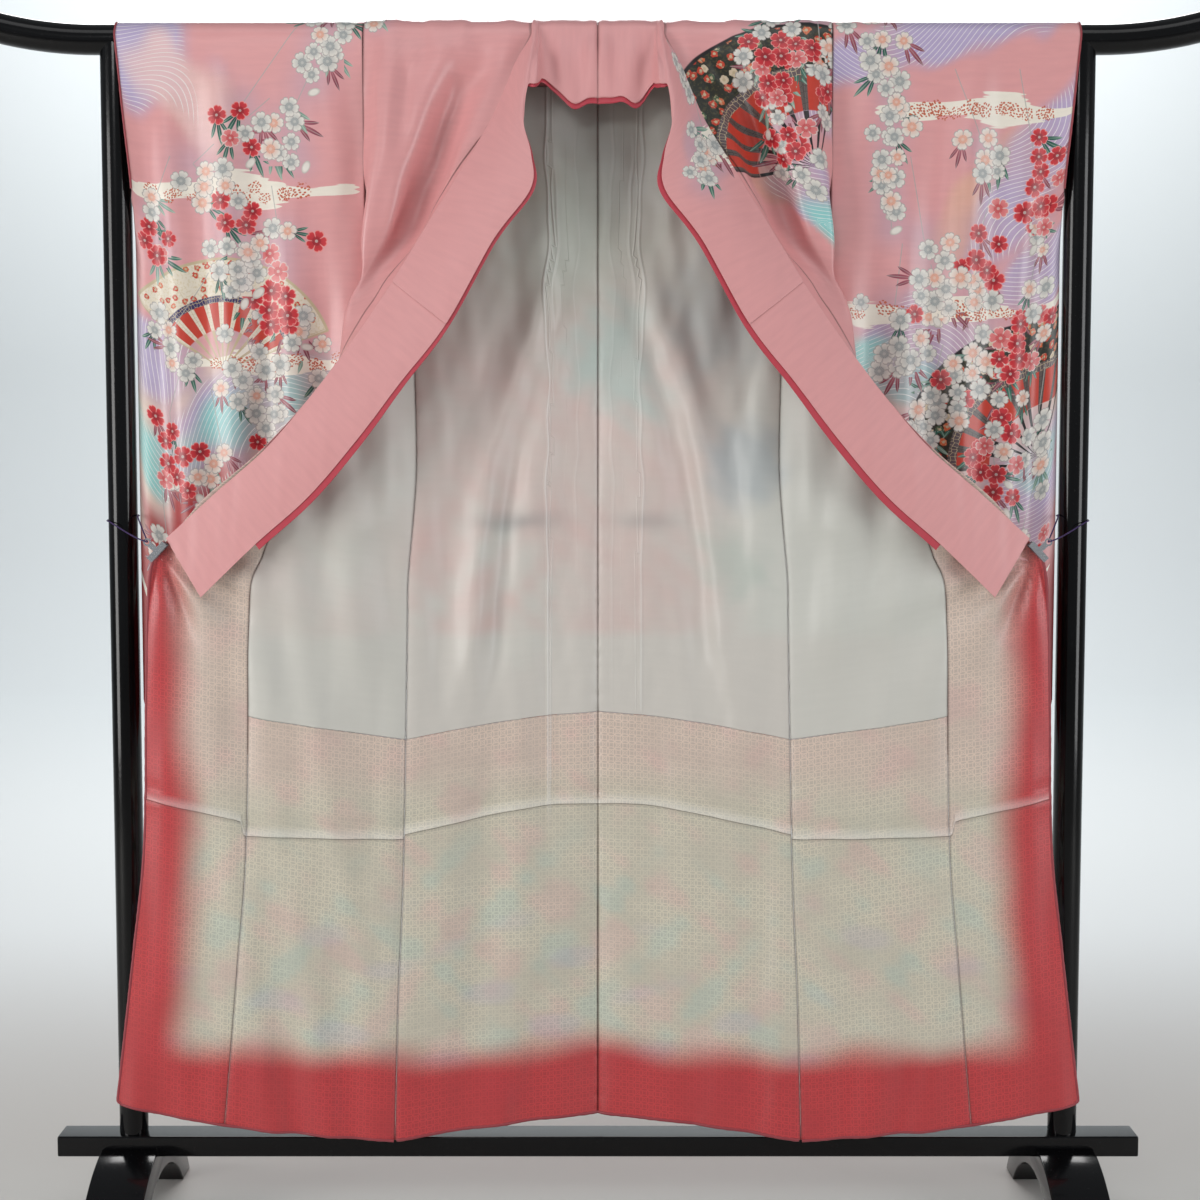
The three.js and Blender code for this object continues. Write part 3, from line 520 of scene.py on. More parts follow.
@dataclass
class Painting:
    """Everything painted on one length of silk, laid out on the flat cloth: tables in millimetres."""

    seed: int
    ground: Colour = PINK
    sprays: tuple[Spray, ...] = ()
    clouds: tuple[Cloud, ...] = ()
    mists: tuple[MistBand, ...] = ()
    fans: tuple[Fan, ...] = ()
    hem_red: tuple[float, ...] = ()
    blossom: float = 0.0152
    strokes: list[Stroke] = field(init=False)

    def __post_init__(self) -> None:
        """Places the blossoms, leaves and stems, the topmost first."""
        self.sprays = tuple(in_metres(s, "path", "spread", "stem_from") for s in self.sprays)
        self.clouds = tuple(in_metres(c, "u", "v", "half_u", "half_v") for c in self.clouds)
        self.mists = tuple(in_metres(m, "u", "v", "half_u", "half_v") for m in self.mists)
        self.fans = tuple(in_metres(f, "u", "v", "radius") for f in self.fans)
        rng = np.random.default_rng(self.seed)
        top: list[Stroke] = []
        leaves: list[Stroke] = []
        stems: list[Stroke] = []
        for spray in self.sprays:
            self._grow(spray, rng, top, leaves, stems)
        for mist in self.mists:
            for k in range(mist.sprigs):
                share = (k + rng.uniform(0.1, 0.9)) / mist.sprigs * 1.3 - 0.65
                size = rng.uniform(0.009, 0.014)
                top.append(Stroke(Motif.SPRIG, mist.u + share * mist.half_u,
                                  mist.v + rng.normal(0, 0.2) * mist.half_v,
                                  size, size, rng.uniform(0, 6)))
        self.strokes = top + leaves + stems

    def _grow(self, spray: Spray, rng: np.random.Generator, top: list[Stroke], leaves: list[Stroke],
              stems: list[Stroke]) -> None:
        """Adds one spray's motifs.

        Args:
            spray: The branch.
            rng: The painting's own random numbers.
            top: Takes the blossoms.
            leaves: Takes the leaves.
            stems: Takes the stems.
        """
        path = np.array(spray.path)
        lengths = np.concatenate([[0], np.cumsum(np.linalg.norm(np.diff(path, axis=0), axis=1))])

        def along(t: float) -> Array:
            """The path's point at share t of its length."""
            s = t * lengths[-1]
            return np.array([np.interp(s, lengths, path[:, 0]), np.interp(s, lengths, path[:, 1])])

        placed: list[Array] = []
        reds = rng.uniform(0, 1) * 0.4 + 0.3
        for k in range(spray.count):
            for _ in range(12):
                t = (k + rng.uniform(0, 1)) / spray.count
                taper = 1.15 - 0.6 * t
                place = along(t) + rng.normal(0, spray.spread * taper, 2)
                if all(np.linalg.norm(place - other) > self.blossom * 1.35 for other in placed):
                    break
            placed.append(place)
            if rng.uniform() < spray.red * 2 * math.exp(-((t - reds) / 0.3) ** 2):
                motif = Motif.RED_BLOSSOM if rng.uniform() < 0.8 else Motif.PINK_BLOSSOM
            else:
                motif = Motif.WHITE_BLOSSOM if rng.uniform() < 0.68 else Motif.PEACH_BLOSSOM
            size = self.blossom * rng.uniform(0.85, 1.12) * (0.8 if t > 0.9 else 1.0)
            if t > 0.93:
                motif = Motif.BUD
            top.append(Stroke(motif, *place, size, size, rng.uniform(0, 6.3)))
            if rng.uniform() < 0.58:
                leaf = [Motif.GREEN_LEAF, Motif.MAROON_LEAF,
                        Motif.PALE_LEAF][rng.choice(3, p=[0.5, 0.35, 0.15])]
                turn = math.pi / 2 + rng.normal(0, 0.8)
                reach = rng.uniform(0.016, 0.024)
                out = place + np.array([math.cos(turn), math.sin(turn)]) * (size + reach * 0.45)
                leaves.append(Stroke(leaf, *out, reach, reach * 0.85, turn))
        start = np.array(spray.stem_from if spray.stem_from else path[0] + np.array([0.03, -0.06]))
        knots = [start] + [along(t) for t in even(0, 1, 4)]
        for a, b in zip(knots[:-1], knots[1:]):
            middle, span = (a + b) / 2, b - a
            half = float(np.linalg.norm(span)) / 2
            stems.append(Stroke(Motif.STEM, *middle, half, 0.0018, math.atan2(span[1], span[0])))

    def dye(self, u: Array, v: Array) -> Array:
        """Soft ground colour with the share of gold dust as its fourth channel.

        Args:
            u: Places across.
            v: Places down.

        Returns:
            Red, green, blue and gold for each place.
        """
        colour = np.broadcast_to(np.asarray(self.ground), u.shape + (3,)).copy()
        gold = np.zeros(u.shape)
        wander = Waves(self.seed + 5, 0.11, 0.13)
        haze = wander(u, v)
        for cloud in self.clouds:
            weight = self.cloud_weight(cloud, u, v, haze)
            colour = mix(colour, cloud.colour, weight * cloud.strength)
            gold = np.maximum(gold, weight * (1 - weight) * 2.2 * cloud.strength)
        for spray in self.sprays:
            path = np.array(spray.path)
            near = np.full(u.shape, 1e9)
            for a, b in zip(path[:-1], path[1:]):
                span = b - a
                t = np.clip(((u - a[0]) * span[0] + (v - a[1]) * span[1]) / (span @ span), 0, 1)
                near = np.minimum(near, np.hypot(u - a[0] - t * span[0], v - a[1] - t * span[1]))
            colour = mix(colour, LILAC_SHADE, 0.75 * np.exp(-(near / (spray.spread * 1.9)) ** 2))
        if self.hem_red:
            start, end = self.hem_red[:2]
            edge = np.abs(v) + 0.02 * haze + 0.12 * np.sin(u * 9)
            colour = mix(colour, DEEP_RED, ease(edge, start, end))
        return np.concatenate([colour, gold[..., None]], axis=-1)

    @staticmethod
    def cloud_weight(cloud: Cloud, u: Array, v: Array, haze: Array) -> Array:
        """How much of a cloud lies on each point."""
        du, dv = u - cloud.u, v - cloud.v
        c, s = math.cos(cloud.turn), math.sin(cloud.turn)
        x, y = (du * c + dv * s) / cloud.half_u, (-du * s + dv * c) / cloud.half_v
        return ease(np.sqrt(x * x + y * y) + 0.16 * haze, 1.12, 0.62)

    def flow(self, u: Array, v: Array) -> Array:
        """Phase of the water lines, their strength, and the depth into the mist.

        Args:
            u: Places across.
            v: Places down.

        Returns:
            Phase, strength and depth for each place.
        """
        bend = Waves(self.seed + 9, 0.24, 0.3, 5)
        haze = Waves(self.seed + 5, 0.11, 0.13)(u, v)
        phase = np.zeros(u.shape)
        strength = np.zeros(u.shape)
        for cloud in self.clouds:
            if not cloud.lines:
                continue
            du, dv = u - cloud.u, v - cloud.v
            c, s = math.cos(cloud.turn), math.sin(cloud.turn)
            y = -du * s + dv * c
            x = du * c + dv * s
            here = self.cloud_weight(cloud, u, v, haze) * cloud.lines
            curl = y + 0.05 * np.sin(x * 19 + cloud.turn * 3) + 0.012 * bend(u, v)
            phase = np.where(here > strength, curl * 130, phase)
            strength = np.maximum(strength, here)
        mist = np.full(u.shape, -1.0)
        for band in self.mists:
            du = (u - band.u) / band.half_u
            taper = np.clip(1.04 - np.abs(du - 0.25 * np.sin((v - band.v) * 190)), 0.02, 1) ** 0.7
            rise = band.half_v * (0.85 + 0.35 * np.sin(u * 41 + band.v * 30)) * taper
            depth = np.minimum(1 - np.abs(v - band.v - 0.004 * np.sin(u * 23)) / rise,
                               (1.08 - np.abs(du)) * 9)
            mist = np.maximum(mist, np.clip(depth, -1, 1))
        return np.stack([phase, strength, mist], axis=-1)


def sleeve_painting(hand: Hand) -> Painting:
    """The sleeve's print: u from armhole to cuff, v down from the shoulder, front and back.

    Args:
        hand: Which side.

    Returns:
        The painting.
    """
    if hand is Hand.LEFT:
        return Painting(
            seed=11, hem_red=(0.72, 0.80),
            sprays=(
                Spray(((45, -50), (50, 30), (75, 100)), 14, stem_from=(30, -120)),
                Spray(((170, 130), (150, 200)), 8, 15, 0.55, (90, 20)),
                Spray(((105, 150), (90, 210)), 7, 13, 0.0, (60, 60)),
                Spray(((240, 210), (190, 260), (180, 330), (165, 400)), 24, 19, 0.12, (130, 120)),
                Spray(((300, 280), (285, 340)), 8, 14, 0.9, (270, 200)),
                Spray(((120, 310), (125, 380), (100, 470)), 19, 18, 0.6, (130, 240)),
                Spray(((270, 440), (250, 500)), 8, 15, 0.0, (220, 360)),
                Spray(((170, 440), (150, 530), (130, 600)), 19, 20, 0.15, (140, 400)),
                Spray(((280, 560), (270, 630), (255, 680)), 13, 15, 0.95, (260, 500)),
                Spray(((60, 500), (50, 580), (70, 660)), 14, 17, 0.2, (100, 420)),
                Spray(((200, 630), (180, 720), (190, 800)), 18, 18, 0.2, (220, 520)),
                Spray(((60, 720), (90, 800), (80, 860)), 14, 17, 0.5, (30, 600)),
                Spray(((290, 740), (280, 840)), 10, 16, 0.1, (300, 640)),
                Spray(((100, -160), (120, -260), (100, -360)), 20, 18, 0.2),
                Spray(((260, -220), (240, -320), (260, -420)), 18, 17, 0.5),
                Spray(((160, -440), (140, -540), (160, -620)), 20, 19, 0.3),
                Spray(((280, -580), (260, -700)), 14, 17, 0.7),
                Spray(((70, -620), (100, -740), (90, -840)), 18, 18, 0.2),
                Spray(((220, -760), (200, -860)), 12, 16, 0.4),
            ),
            clouds=(
                Cloud(350, 20, 170, 85, -0.75, LAVENDER, 0.95, 0.9),
                Cloud(240, 120, 120, 50, -0.8, PALE_PINK, 0.8),
                Cloud(190, 620, 280, 170, 0.0, srgb(224, 208, 192), 0.85),
                Cloud(210, 575, 130, 60, 0.75, LAVENDER, 0.95, 1.0),
                Cloud(150, 545, 130, 50, 0.55, TURQUOISE, 0.9, 0.7),
                Cloud(300, 490, 70, 70, 0.9, LAVENDER, 0.9, 0.9),
                Cloud(295, 635, 70, 55, -0.3, TURQUOISE, 0.95, 1.0),
                Cloud(140, 700, 120, 70, -0.5, LAVENDER, 0.9, 1.0),
                Cloud(70, 790, 100, 50, 0.3, TURQUOISE, 0.8, 0.9),
                Cloud(260, -100, 160, 70, 0.7, LAVENDER, 0.9, 0.9),
                Cloud(120, -500, 180, 80, 0.5, LAVENDER, 0.95, 1.0),
                Cloud(240, -620, 120, 60, -0.4, TURQUOISE, 0.9, 0.9),
                Cloud(140, -780, 160, 70, 0.3, LAVENDER, 0.9, 1.0),
            ),
            mists=(
                MistBand(190, 248, 170, 26, 14), MistBand(130, 487, 140, 22, 12),
                MistBand(200, 840, 160, 18, 6), MistBand(160, -310, 160, 20, 7),
                MistBand(200, -700, 160, 20, 6),
            ),
            fans=(Fan(125, 605, 135, 0.1), Fan(200, 497, 158, -0.1), Fan(100, -560, 200, 0.3, True)),
        )
    return Painting(
        seed=23, hem_red=(0.79, 0.86),
        sprays=(
            Spray(((75, -20), (70, 60), (85, 140), (80, 230), (85, 300)), 30, 13, 0.0, (70, -120)),
            Spray(((280, 190), (300, 250), (290, 330)), 16, 15, 0.95, (260, 80)),
            Spray(((210, 185), (230, 210)), 6, 14, 0.0, (170, 80)),
            Spray(((130, 310), (145, 360), (150, 420)), 12, 15, 0.0, (110, 200)),
            Spray(((210, 300), (205, 360), (210, 400)), 12, 15, 0.85, (240, 200)),
            Spray(((280, 390), (270, 450), (240, 500)), 18, 17, 0.95, (300, 300)),
            Spray(((90, 410), (120, 450), (90, 500)), 13, 17, 0.1, (100, 320)),
            Spray(((200, 440), (190, 500), (160, 570)), 15, 18, 0.2, (220, 360)),
            Spray(((140, 540), (120, 610)), 10, 16, 0.0, (160, 460)),
            Spray(((250, 540), (230, 600), (240, 680)), 18, 19, 0.8, (270, 460)),
            Spray(((300, 580), (300, 640)), 8, 14, 0.1, (310, 500)),
            Spray(((70, 580), (80, 680), (60, 760)), 17, 17, 0.3, (60, 500)),
            Spray(((180, 680), (160, 780), (180, 850)), 18, 18, 0.2, (200, 600)),
            Spray(((280, 720), (270, 800)), 10, 16, 0.6, (300, 660)),
            Spray(((200, -120), (220, -220), (200, -300)), 18, 17, 0.3),
            Spray(((80, -240), (100, -360), (80, -440)), 20, 18, 0.6),
            Spray(((270, -380), (250, -500), (270, -580)), 20, 18, 0.2),
            Spray(((130, -520), (120, -640), (140, -720)), 20, 19, 0.4),
            Spray(((260, -680), (250, -800)), 14, 17, 0.7),
            Spray(((70, -760), (80, -860)), 12, 16, 0.2),
        ),
        clouds=(
            Cloud(160, 600, 240, 150, 0.0, srgb(226, 210, 194), 0.85),
            Cloud(140, 35, 220, 45, -0.28, LAVENDER, 0.95, 0.9),
            Cloud(220, 260, 130, 50, -0.95, srgb(224, 178, 148), 0.6),
            Cloud(270, 240, 160, 50, -1.1, LAVENDER, 0.9, 0.9),
            Cloud(310, 360, 100, 50, -0.5, LAVENDER, 0.95, 1.0),
            Cloud(150, 475, 120, 65, 0.5, LAVENDER, 0.95, 1.0),
            Cloud(90, 500, 100, 40, 0.35, TURQUOISE, 0.95, 0.6),
            Cloud(280, 690, 120, 70, -0.9, LAVENDER, 0.95, 1.0),
            Cloud(300, 640, 50, 40, 0.0, TURQUOISE, 0.85, 0.8),
            Cloud(120, 700, 140, 80, 0.4, LAVENDER, 0.9, 1.0),
            Cloud(80, 810, 100, 50, -0.3, TURQUOISE, 0.9, 0.9),
            Cloud(120, -80, 180, 60, 0.5, LAVENDER, 0.9, 0.9),
            Cloud(200, -460, 160, 80, -0.5, LAVENDER, 0.95, 1.0),
            Cloud(100, -600, 120, 60, 0.4, TURQUOISE, 0.9, 0.9),
            Cloud(200, -760, 160, 70, -0.3, LAVENDER, 0.9, 1.0),
        ),
        mists=(
            MistBand(210, 140, 155, 24, 14), MistBand(120, 415, 220, 18, 14),
            MistBand(160, 800, 160, 18, 6), MistBand(180, -280, 160, 20, 7),
            MistBand(140, -700, 160, 20, 6),
        ),
        fans=(Fan(300, 628, 200, -0.55, True), Fan(200, -520, 200, -0.2)),
    )


def front_painting(hand: Hand) -> Painting:
    """The front's print: u from the sleeve seam or side seam to the collar, v down from the shoulder.

    Args:
        hand: Which side.

    Returns:
        The painting.
    """
    hem = (
        Spray(((100, 1000), (120, 1120), (100, 1240)), 22, 20, 0.3),
        Spray(((260, 920), (280, 1050), (250, 1180)), 24, 21, 0.5),
        Spray(((420, 1020), (400, 1160), (420, 1300)), 24, 21, 0.3),
        Spray(((180, 1240), (200, 1360), (180, 1440)), 20, 20, 0.4),
        Spray(((330, 1260), (340, 1380)), 16, 19, 0.2),
    )
    hem_clouds = (
        Cloud(140, 1120, 240, 100, 0.5, LAVENDER, 0.95, 1.0),
        Cloud(340, 1020, 200, 90, -0.4, TURQUOISE, 0.9, 0.9),
        Cloud(300, 1300, 260, 100, 0.3, LAVENDER, 0.95, 1.0),
        Cloud(80, 1360, 140, 80, 0.2, TURQUOISE, 0.9, 0.9),
    )
    hem_mists = (MistBand(240, 900, 240, 24, 9), MistBand(300, 1200, 220, 22, 8))
    hem_fans = (Fan(200, 1300, 200, 0.3), Fan(440, 1360, 190, -0.4, True))
    if hand is Hand.LEFT:
        return Painting(
            seed=31, hem_red=(1.48, 1.56), fans=hem_fans, mists=hem_mists, clouds=hem_clouds,
            sprays=hem + (Spray(((12, -30), (20, 20)), 5, 9),),
        )
    return Painting(
        seed=37, hem_red=(1.48, 1.56), mists=hem_mists,
        fans=(Fan(45, 235, 215, 0.62, True),) + hem_fans,
        clouds=(
            Cloud(20, 100, 90, 70, 0.9, LAVENDER, 0.9, 0.9),
            Cloud(55, 270, 70, 55, -0.7, LAVENDER, 0.95, 1.0),
            Cloud(100, 250, 50, 40, 0.9, srgb(200, 156, 128), 0.5),
            Cloud(20, 325, 70, 45, -0.6, TURQUOISE, 0.95, 1.0),
        ) + hem_clouds,
        sprays=(
            Spray(((60, -20), (70, 50), (100, 110), (85, 160)), 26, 21, 0.5, (50, -100)),
            Spray(((85, 170), (80, 220)), 9, 14, 0.95, (80, 100)),
            Spray(((20, 20), (15, 100), (20, 170)), 12, 13, 0.1, (20, -50)),
            Spray(((70, 235), (50, 260)), 4, 12, 0.0, (80, 200)),
        ) + hem,
    )


def back_painting(hand: Hand) -> Painting:
    """The back's print: u from the centre seam, v down from the shoulder.

    Args:
        hand: Which side.

    Returns:
        The painting.
    """
    shift = 0 if hand is Hand.LEFT else 40
    return Painting(
        seed=41 + hand.value, hem_red=(1.46, 1.54),
        sprays=(
            Spray(((240 + shift, 20), (220, 120), (240, 240)), 24, 18, 0.3),
            Spray(((120, 50), (140 + shift, 150)), 14, 17, 0.6),
            Spray(((280 - shift, 300), (260, 420), (270, 500)), 20, 18, 0.5),
            Spray(((100, 960), (120, 1080), (100 + shift, 1200)), 24, 21, 0.4),
            Spray(((220, 880), (240 - shift, 1000), (220, 1140)), 24, 21, 0.3),
            Spray(((50, 1220), (70, 1340), (50, 1420)), 20, 20, 0.5),
            Spray(((200, 1200), (210, 1320), (190, 1420)), 20, 20, 0.3),
        ),
        clouds=(
            Cloud(260, 100, 160, 70, -0.6, LAVENDER, 0.9, 0.9),
            Cloud(280, 340, 100, 60, 0.5, TURQUOISE, 0.8, 0.8),
            Cloud(100, 1020, 200, 90, 0.4, LAVENDER, 0.95, 1.0),
            Cloud(220, 1140, 160, 70, -0.4, TURQUOISE, 0.9, 0.9),
            Cloud(140, 1320, 220, 100, 0.3, LAVENDER, 0.95, 1.0),
        ),
        mists=(MistBand(180, 200, 150, 20, 6), MistBand(140, 860, 200, 24, 8),
               MistBand(160, 1240, 180, 22, 8)),
        fans=(Fan(120 + shift, 1220, 200, 0.2), Fan(240 - shift, 1400, 190, -0.3, True),
              Fan(220, 220, 150, 0.5, hand is Hand.LEFT)),
    )


def collar_painting(hand: Hand) -> Painting:
    """The collar's print: u across the band from its seam, v along it from the centre back.

    Args:
        hand: Which side.

    Returns:
        The painting.
    """
    if hand is Hand.LEFT:
        return Painting(seed=51)
    return Painting(
        seed=53, blossom=0.0125,
        clouds=(Cloud(30, 285, 50, 35, 1.0, LILAC_SHADE, 0.7),),
        sprays=(
            Spray(((4, 180), (10, 210)), 4, 8, 0.0, (0, 150)),
            Spray(((10, 262), (30, 290), (52, 325)), 13, 12, 0.0, (0, 235)),
        ),
        mists=(MistBand(5, 285, 45, 24, 2),),
    )


# ---- Folds of each part of the garment ----

@dataclass(frozen=True)
class Folds:
    """Relief of the hanging cloth, in millimetres along the surface normal."""

    soft_front: Waves = Waves(3, 95, 620)
    fine_front: Waves = Waves(4, 34, 210)
    soft_back: Waves = Waves(5, 120, 900)
    fine_back: Waves = Waves(6, 30, 150)
    gathers: Waves = Waves(7, 26, 260)
    sleeve: Waves = Waves(8, 78, 1600)
    fine_sleeve: Waves = Waves(9, 32, 260)
    clip: tuple[float, float] = (611, 974)

    def front(self, p: Array, flat: Array) -> Array:
        """The front: gathers at the bar, folds from the neck, and folds pulled out to the clip.

        Args:
            p: Places in space, in millimetres.
            flat: Not used.

        Returns:
            How far each point moves out along the normal, in millimetres.
        """
        x, z = p[..., 0], p[..., 2]
        soft = ease(np.abs(x - np.interp(z, *SIDE_LINE)), 0, 45)
        lower = ease(z, 1300, 1050)
        at_bar = ease(z, 1480, 1690)
        relief = soft * (4.6 * self.soft_front(x, z) * (0.4 + 0.8 * lower) + 0.5 * self.fine_front(x, z))
        relief += at_bar * (0.9 + 0.9 * self.gathers(x, z)) * bump(x - 262, 95) * 1.6
        drop = np.clip(1660 - z, 0, 300)
        fall = ease(z, 1668, 1610) * ease(z, 1340, 1430)
        relief += ease(z, 1345, 1430) * (0.4 + 0.6 * ease(z, 1700, 1660)) * (
            8.5 * bump(x - 214 - drop * 0.33, 24) + 5.0 * bump(x - 128 - drop * 0.42, 20) + 4.0
            * bump(x - 288, 16))
        relief -= fall * (18.5 * bump(x - 170 - drop * 0.40, 27) + 5.0 * bump(x - 254 - drop * 0.2, 14))
        reach = np.hypot(x - self.clip[0], z - self.clip[1])
        turn = np.arctan2(self.clip[1] - z, self.clip[0] - x)
        pull = np.clip(reach / 70, 0, 1) * np.exp(-reach / 340) * ease(z, 1200, 1040)
        relief += soft * 8.0 * pull * np.sin(turn * 11 + 0.8)
        pressed = z - self.pressed_across(x)
        relief += lower * (3.2 * bump(pressed - 12, 14) - 4.5 * crease(pressed, 12))
        relief -= 1.1 * lower * crease(z - (1010 - (x - 300) * 0.25), 9) * bump(x - 330, 60)
        return relief

    def back(self, p: Array, flat: Array) -> Array:
        """The back: a soft hang with pressed folds down and across it.

        Args:
            p: Places in space, in millimetres.
            flat: Not used.

        Returns:
            How far each point moves out along the normal, in millimetres.
        """
        x, z = p[..., 0], p[..., 2]
        hang = ease(z, 1680, 1500)
        soft = ease(np.abs(np.interp(z, *SIDE_LINE) - np.abs(x)), 0, 45)
        relief = soft * hang * (4.2 * self.soft_back(x, z) + 0.5 * self.fine_back(x, z))
        relief += soft * hang * 1.2 * self.fine_back(x * 0.6 + 40, z * 0.5) * ease(z, 900, 1300)
        x = np.abs(x)
        pressed = z - self.pressed_across(x)
        relief += 3.2 * bump(pressed - 12, 14) - 4.5 * crease(pressed, 12)
        relief -= 1.6 * crease(z - (652 - 0.05 * x), 7) * bump(x - 90, 80)
        sway = 175 - (z - 893) * 0.19 + 14 * np.sin((z - 893) / 110)
        long_fold = hang * ease(z, 720, 860) * ease(z, 1420, 1250)
        relief += long_fold * (8.0 * bump(x - sway + 34, 17) - 9.0 * bump(x - sway, 20) + 4.0
                               * bump(x - sway - 38, 20))
        return relief

    @staticmethod
    def pressed_across(x: Array) -> Array:
        """Height of the line ironed across the garment, x from the centre."""
        back = 606 - 0.00052 * x * x + 2 * np.sin(x / 40)
        front = 562 + 0.04 * (x - 290) + 22 * ease(x, 499, 505) + 0.2 * np.maximum(x - 505, 0)
        return np.where(x < 276.5, back, front)

    @staticmethod
    def pressed_lines(p: Array, hand: Hand) -> Array:
        """Distance to the nearest ironed line down the back's lining, and how strong it is.

        Args:
            p: Places in space, in millimetres.
            hand: Which side.

        Returns:
            Distance and strength for each point.
        """
        x, z = p[..., 0], p[..., 2]
        loose = ease(z, 900, 1080) * ease(z, 1600, 1500)
        wander = loose * (2.6 * np.sin(z / 19) * np.sin(z / 67) + 3.0 * np.sin(z / 41 + 1))
        if hand is Hand.LEFT:
            lines = ((72, ease(z, 560, 640), 1.0), (60, loose * bump(z - 1400, 130), 0.6), (30, loose, 0.35))
        else:
            lines = ((62, ease(z, 735, 745) * ease(z, 1640, 1560), 0.7),
                     (48, loose * bump(z - 1440, 120), 0.7),
                     (20, ease(z, 700, 900), 0.3))
        near, strength = np.full(x.shape, 99.0), np.zeros(x.shape)
        for place, there, height in lines:
            away = x - place - wander
            closer = np.abs(away) < np.abs(near)
            near, strength = np.where(closer, away, near), np.where(closer, there * height, strength)
        return np.stack([near, strength], axis=-1)

    def sleeve_relief(self, p: Array, flat: Array) -> Array:
        """The sleeves: long soft folds that die out at the sewn edges."""
        x, y, z = p[..., 0], p[..., 1], p[..., 2]
        free = np.clip(np.abs(y) / 9 - 0.3, 0, 1) * ease(z, 1700, 1560)
        relief = free * (7.4 * self.sleeve(x + np.sign(y) * 31, z) + 0.4 * self.fine_sleeve(x, z))
        return relief + 0.7 * (1 - ease(z, 1690, 1600)) * (1 + self.gathers(x, z)) * bump(x - 360, 40)

    def collar(self, p: Array, flat: Array) -> Array:
        """The collar: crumpled where it turns at the neck, smooth below."""
        x, z = p[..., 0], p[..., 2]
        across, along = flat[..., 0], flat[..., 1]
        neck = ease(along, 190, 60)
        relief = 0.7 * self.fine_front(x * 1.2, z) * (0.35 + neck)
        waves = np.sin(along / 15.5 + 0.6) + 0.6 * np.sin(along / 8.3 + across / 40)
        relief += neck * ease(across, 30, 75) * (4.6 * waves + 3.0)
        relief -= 2.6 * crease(along, 3.5)
        return relief + 0.8 * np.sin(along / 58 + across / 30) * ease(along, 150, 300)

    @staticmethod
    def neck_edge(flat: Array, hand: Hand) -> Array:
        """How far the collar's free edge rises or falls at the back of the neck."""
        across, along = flat[..., 0], flat[..., 1]
        if hand is Hand.LEFT:
            height = 7.0 * bump(along - 70, 13) - 14.0 * bump(along - 32, 15)
        else:
            height = -3.0 * bump(along - 20, 12) - 18.0 * bump(along - 52, 14)
        return height * ease(across, 60, 125)


ARMHOLE = ((300, 1400), (324.5, 1484), (325, 1571), (325, 1720))
SIDE_LINE = (np.array([z for _, _, z in reversed(SIDE_SEAM)] + [z for _, z in ARMHOLE], dtype=float),
             np.array([x for x, _, _ in reversed(SIDE_SEAM)] + [x for x, _ in ARMHOLE], dtype=float))
FOLDS = Folds()


# ---- Meshes of cloth ----

MOTIF_LAYERS = 4
NOTHING = (9.0, 9.0, 0.0)
EDGE_STEPS = (0.0, 1.6, 4.5, 9.0)


def level(at: float) -> Callable[[Array], Array]:
    """An edge of a strip that runs at the same share of every row."""
    return lambda v: 0 * v + at


WHOLE = (level(0), level(1))


def columns(width: float, step: float) -> Array:
    """Shares of a width, close together at both edges and step apart between them."""
    inner = np.linspace(EDGE_STEPS[-1], width - EDGE_STEPS[-1], max(2, int(round((width - 18) / step)) + 1))
    places = [*EDGE_STEPS[:-1], *inner, *(width - e for e in reversed(EDGE_STEPS[:-1]))]
    return np.array(places) / width


def link(obj: Thing) -> Thing:
    """Puts an object into the scene."""
    bpy.context.scene.collection.objects.link(obj)
    return obj


def report(obj: Thing) -> None:
    """Logs a finished piece."""
    log.info("%s: %d faces", obj.name, len(obj.data.polygons))


